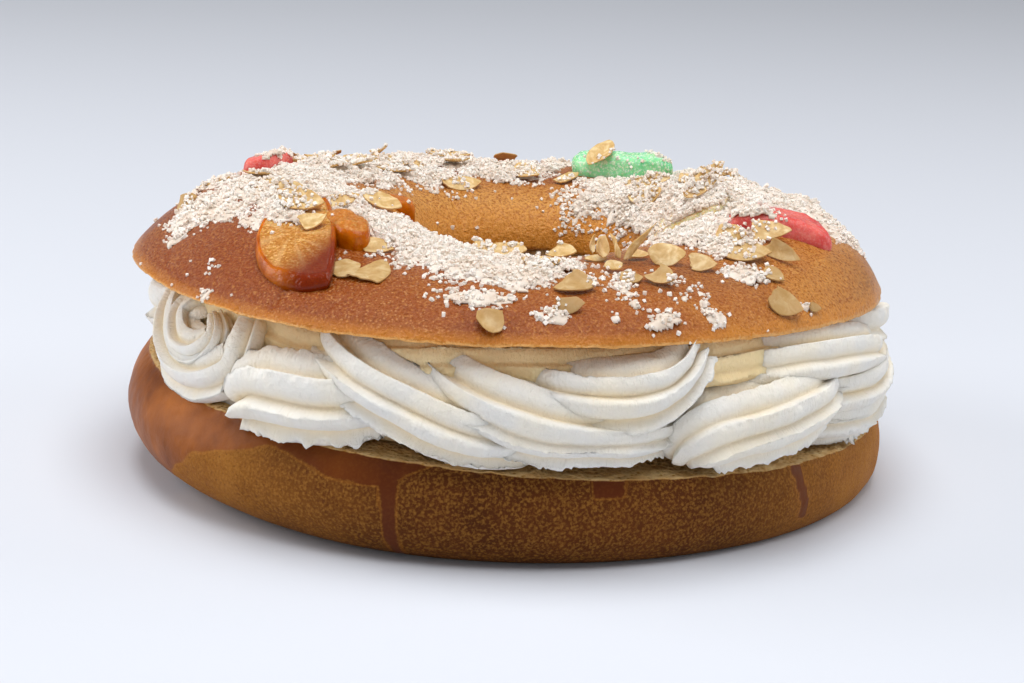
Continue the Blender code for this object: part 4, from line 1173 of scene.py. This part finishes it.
class BUN_OT_lower(bpy.types.Operator):
    """Model the lower half of the bread"""

    bl_idname = "bun.lower_bread"
    bl_label = "Lower Bread"

    def execute(self, context):
        piece = lower_bread(lower_crust(context.scene.bun_look))
        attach(piece, "root")
        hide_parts("bun_lower")
        return {"FINISHED"}


class BUN_OT_upper(bpy.types.Operator):
    """Model the upper half of the bread"""

    bl_idname = "bun.upper_bread"
    bl_label = "Upper Bread"

    def execute(self, context):
        piece = upper_bread(upper_crust(context.scene.bun_look))
        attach(piece, "root")
        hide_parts("bun_upper")
        return {"FINISHED"}


class BUN_OT_cream(bpy.types.Operator):
    """Pipe the ropes of cream"""

    bl_idname = "bun.cream"
    bl_label = "Piped Cream"

    def execute(self, context):
        ropes = []
        # The seeds keep the front, back and inner ropes apart
        for index, (stops, ways) in enumerate(ROPES.values()):
            ropes.append(rope_mesh(stops, FRONT_SEED + index, **ways))
        for index in range(BACK_ROPES):
            angle = BACK_SPAN[0] + (BACK_SPAN[1] - BACK_SPAN[0]) * (index + 0.5) / BACK_ROPES
            lean = -1 if index % 3 == 1 else 0.8
            stops = back_rope(angle, lean, 12.4 + 0.4 * (index % 3))
            ropes.append(rope_mesh(stops, BACK_SEED + index, pull=4.0, fine=0.7))
        for index, (stops, ways) in enumerate(INNER_ROPES):
            ropes.append(rope_mesh(stops, INNER_SEED + index, steps=8, fine=1.2, **ways))
        points, faces, start = [], [], 0
        for places, quads, _ in ropes:
            points.append(places + np.array([MIDDLE.x, MIDDLE.y, 0]))
            faces += [tuple(start + index for index in face) for face in quads]
            start += len(places)
        points = np.concatenate(points)
        piece = build("piped_cream", points, faces, whipped_cream(context.scene.bun_look))
        reach = np.hypot(points[:, 0], points[:, 1])
        # Painted shade: a warm tint stands in for the bread's shade and bounce light where the ropes run in
        # between the halves or up under the lid, on all the inner ropes, and deep in each groove
        deep = np.clip((95 * MM - reach) / (9 * MM), 0, 1)
        high = np.clip((points[:, 2] - 50 * MM) / (6 * MM), 0, 1)
        high *= np.clip((99 * MM - reach) / (4 * MM), 0, 1)
        shaded = np.maximum(deep, 0.9 * high)
        shaded[-sum(len(rope[0]) for rope in ropes[-len(INNER_ROPES):]):] = 0.75
        groove, along, lane = np.concatenate([rope[2] for rope in ropes]).T
        store(piece, "inside", np.maximum(shaded, 0.42 * groove ** 2))
        store(piece, "along", along)
        store(piece, "lane", lane)
        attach(piece, "root")
        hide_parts("cream")
        return {"FINISHED"}


def centre_of(node):
    """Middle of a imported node's box, seen from above."""
    low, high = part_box(node)
    return ((low.x + high.x) / 2, (low.y + high.y) / 2)


class BUN_OT_fruit(bpy.types.Operator):
    """Model the candied fruit"""

    bl_idname = "bun.fruit"
    bl_label = "Candied Fruit"

    def execute(self, context):
        orange = candied("candied_orange", "#ce7200", "#9a4400", 0.004)
        red = candied("candied_red_fruit", "#e6766c", "#d24644", frost=0.1)
        green = candied("candied_green_fruit", "#a8ecb6", "#70d08c", frost=0.6)
        pear = candied("candied_pear", "#f6e4b8", "#e6c684", frost=0.6)
        low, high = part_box("orange_slice")

        def scorched(points):
            near_end = (high.y - points[:, 1]) / (high.y - low.y)
            right = (points[:, 0] - low.x) / (high.x - low.x)
            return np.clip(2.9 * near_end + 1.5 * right - 2.75, 0, 0.95)

        rows = [
            ("orange_slice", "half_slice", 95, half_round(50 * MM, 18.5 * MM), 3.6, orange, 1.0),
            ("orange_wedge", "orange_segment", -72, oval(21 * MM, 11 * MM, 0.85), 5.5, orange, 0.55),
            ("orange_piece", "orange_cube", 20, oval(7 * MM, 8.5 * MM, 0.7), 4.5, orange, 0.2),
            ("red_strip", "red_slice", 0, strip(27 * MM, 13.5 * MM, -0.35), 5.5, red, 0.0),
            ("red_piece", "red_chunk", 60, oval(17 * MM, 11 * MM, 0.8), 4.5, red, 0.0),
            ("pear_slice", "pale_slice", 75, oval(30 * MM, 20 * MM, 0.9), 4.5, pear, 0.0),
            ("green_piece", "green_chunk", -20, oval(31 * MM, 14 * MM, 0.8), 6, green, 0.0),
        ]
        special = {"orange_slice": dict(section=SLICE_SECTION, lean=SLICE_LEAN, burnt=scorched),
                   "orange_piece": dict(level=0.8)}
        for node, name, heading, outline, thickness, finish, flesh in rows:
            ways = special.get(node, {})
            piece = fruit_slab(
                name, centre_of(node), heading, outline, thickness * MM, finish, flesh=flesh, **ways)
            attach(piece, "root")
            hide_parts(node)
        return {"FINISHED"}


FRUIT_PIECES = (
    "half_slice", "orange_segment", "orange_cube", "red_slice", "red_chunk", "pale_slice", "green_chunk")


class BUN_OT_almonds(bpy.types.Operator):
    """Scatter the flaked almonds"""

    bl_idname = "bun.almonds"
    bl_label = "Flaked Almonds"

    def execute(self, context):
        rng = random.Random(FLAKE_SEED)
        ground = Ground(surfaces("upper_bread", *FRUIT_PIECES))
        rows = list(FLAKES)
        for _ in range(context.scene.bun_sizes.back_flakes):
            rows.append((rng.uniform(10, 185), rng.uniform(48, 96), rng.uniform(0, 360), rng.uniform(3, 30),
                         rng.uniform(0, 5), rng.uniform(9, 14), rng.uniform(5.5, 8.5)))
        points, faces, toast, brown, start = [], [], [], [], 0
        for angle, radius, heading, tilt, rise, length, width in rows:
            found = ground.under(*ring_spot(angle, radius * MM))
            if found is None:
                continue
            flake, quads, shade = flake_mesh(length * MM, width * MM, rng.uniform(0.4, 0.6) * MM, rng)
            rolled, raised = math.sin(math.radians(tilt)), math.sin(math.radians(rise))
            lift = (0.6 + (0.38 * width * rolled + 0.42 * length * raised)) * MM
            points.append(place_on(flake, found[0], found[1], heading, tilt, rise, lift))
            faces += [tuple(start + index for index in face) for face in quads]
            toast.append(shade)
            first, last = BROWNED
            outer = min(1, max(0, (radius - first) / (last - first)))
            brown.append(np.full(len(flake), 0.35 * rng.random() + 0.65 * outer))
            start += len(flake)
        if not points:
            raise RuntimeError("no almond flake found the bread")
        piece = build("almond_flakes", np.concatenate(points), faces, almond_finish())
        store(piece, "toast", np.concatenate(toast))
        store(piece, "brown", np.concatenate(brown))
        piece.data.set_sharp_from_angle(angle=math.radians(FLAKE_CORNER))
        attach(piece, "root")
        return {"FINISHED"}


class BUN_OT_sugar(bpy.types.Operator):
    """Heap the moist sugar and its loose grains"""

    bl_idname = "bun.sugar"
    bl_label = "Coarse Sugar"

    def execute(self, context):
        # The fused heap is darker than the loose crystals: this is partly its cloudier damp sugar and partly
        # painted shade in the gaps between the crystals
        heap = sugar_finish("sugar_heap", "#dccbba", "#eadfd3")
        loose = sugar_finish("sugar_crystals", "#e8dacc", "#f4ebe2")
        solid = surfaces("upper_bread", *FRUIT_PIECES)
        layer = sugar_crust(Ground(solid), heap)
        solid += [*surfaces("almond_flakes"), layer]
        grains = sugar_grains(Ground(solid), loose, context.scene.bun_sizes.grains)
        for piece in (layer, grains):
            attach(piece, "root")
        return {"FINISHED"}


class BUN_OT_stage(bpy.types.Operator):
    """Set the floor, the soft studio lights and the camera"""

    bl_idname = "bun.stage"
    bl_label = "Stage"

    def execute(self, context):
        scene = context.scene
        side = scene.bun_sizes.floor / 2
        corners = [(-side, -side, 0), (side, -side, 0), (side, side, 0), (-side, side, 0)]
        floor = build("studio_floor", corners, [(0, 1, 2, 3)], plain_floor())

        world = bpy.data.worlds.new("soft_room")
        world.use_nodes = True
        set_inputs(world.node_tree.nodes["Background"], {"Color": ROOM_COLOUR, "Strength": ROOM_LIGHT})
        scene.world = world
        for name, place, size, power in LIGHTS:
            data = bpy.data.lights.new(name, "AREA")
            data.shape = "RECTANGLE"
            data.size, data.size_y = size
            data.energy = power
            lamp = bpy.data.objects.new(name, data)
            lamp.location = place
            lamp.rotation_euler = (LIGHT_AIM - Vector(place)).to_track_quat("-Z", "Y").to_euler()
            scene.collection.objects.link(lamp)

        camera = bpy.data.objects.new("camera", bpy.data.cameras.new("camera"))
        camera.data.angle = scene.bun_sizes.lens
        pitch, roll = math.radians(CAMERA_PITCH), math.radians(CAMERA_ROLL)
        ahead = Vector((0, math.cos(pitch), -math.sin(pitch)))
        above = Vector((0, math.sin(pitch), math.cos(pitch)))
        right = Vector((1, 0, 0))
        x_axis = right * math.cos(roll) + above * math.sin(roll)
        y_axis = above * math.cos(roll) - right * math.sin(roll)
        turn = Matrix((x_axis, y_axis, -ahead)).transposed().to_4x4()
        camera.matrix_world = Matrix.Translation(CAMERA_PLACE) @ turn
        scene.collection.objects.link(camera)
        scene.camera = camera
        scene.view_settings.view_transform = "Standard"
        return {"FINISHED"}


CAMERA_PLACE = Vector((0.7 * MM, -798 * MM, 236 * MM))
CAMERA_PITCH = 14.18
CAMERA_ROLL = 2.16

ROOM_COLOUR = "#f3f3f3"
ROOM_LIGHT = 0.32

# Soft lights, all turned to one point: name, place, size, power in watts
LIGHT_AIM = Vector((0, 0, 0.05))
LIGHTS = [
    ("overhead", (0.03, -0.2, 1.2), (0.8, 1.3), 14.4),
    ("front", (0.0, -1.5, 0.3), (1.2, 0.5), 2.4),
    ("left", (-1.2, 0.2, 0.5), (0.8, 0.9), 9),
    ("right", (1.2, 0.25, 0.55), (0.8, 0.9), 4.5),
]


class BUN_PT_panel(bpy.types.Panel):
    """Lists the pieces of the ring bun"""

    bl_label = "Ring Bun"
    bl_idname = "BUN_PT_panel"
    bl_space_type = "VIEW_3D"
    bl_region_type = "UI"
    bl_category = "Ring Bun"

    def draw(self, context):
        for group in (context.scene.bun_look, context.scene.bun_sizes):
            for name in group.__annotations__:
                self.layout.prop(group, name)
        for operator in OPERATORS:
            self.layout.operator(operator.bl_idname)


OPERATORS = (
    BUN_OT_lower, BUN_OT_upper, BUN_OT_cream, BUN_OT_fruit, BUN_OT_almonds, BUN_OT_sugar, BUN_OT_stage)
CLASSES = (BunLook, BunSizes, *OPERATORS, BUN_PT_panel)


def register():
    """Makes the classes known to Blender."""
    for entry in CLASSES:
        bpy.utils.register_class(entry)
    bpy.types.Scene.bun_look = bpy.props.PointerProperty(type=BunLook)
    bpy.types.Scene.bun_sizes = bpy.props.PointerProperty(type=BunSizes)


def unregister():
    """Takes the classes out again."""
    del bpy.types.Scene.bun_sizes
    del bpy.types.Scene.bun_look
    for entry in reversed(CLASSES):
        bpy.utils.unregister_class(entry)


def main():
    """Builds every piece in order."""
    register()
    bpy.ops.bun.lower_bread()
    bpy.ops.bun.upper_bread()
    bpy.ops.bun.cream()
    bpy.ops.bun.fruit()
    bpy.ops.bun.almonds()
    bpy.ops.bun.sugar()
    bpy.ops.bun.stage()


if __name__ == "__main__":
    main()
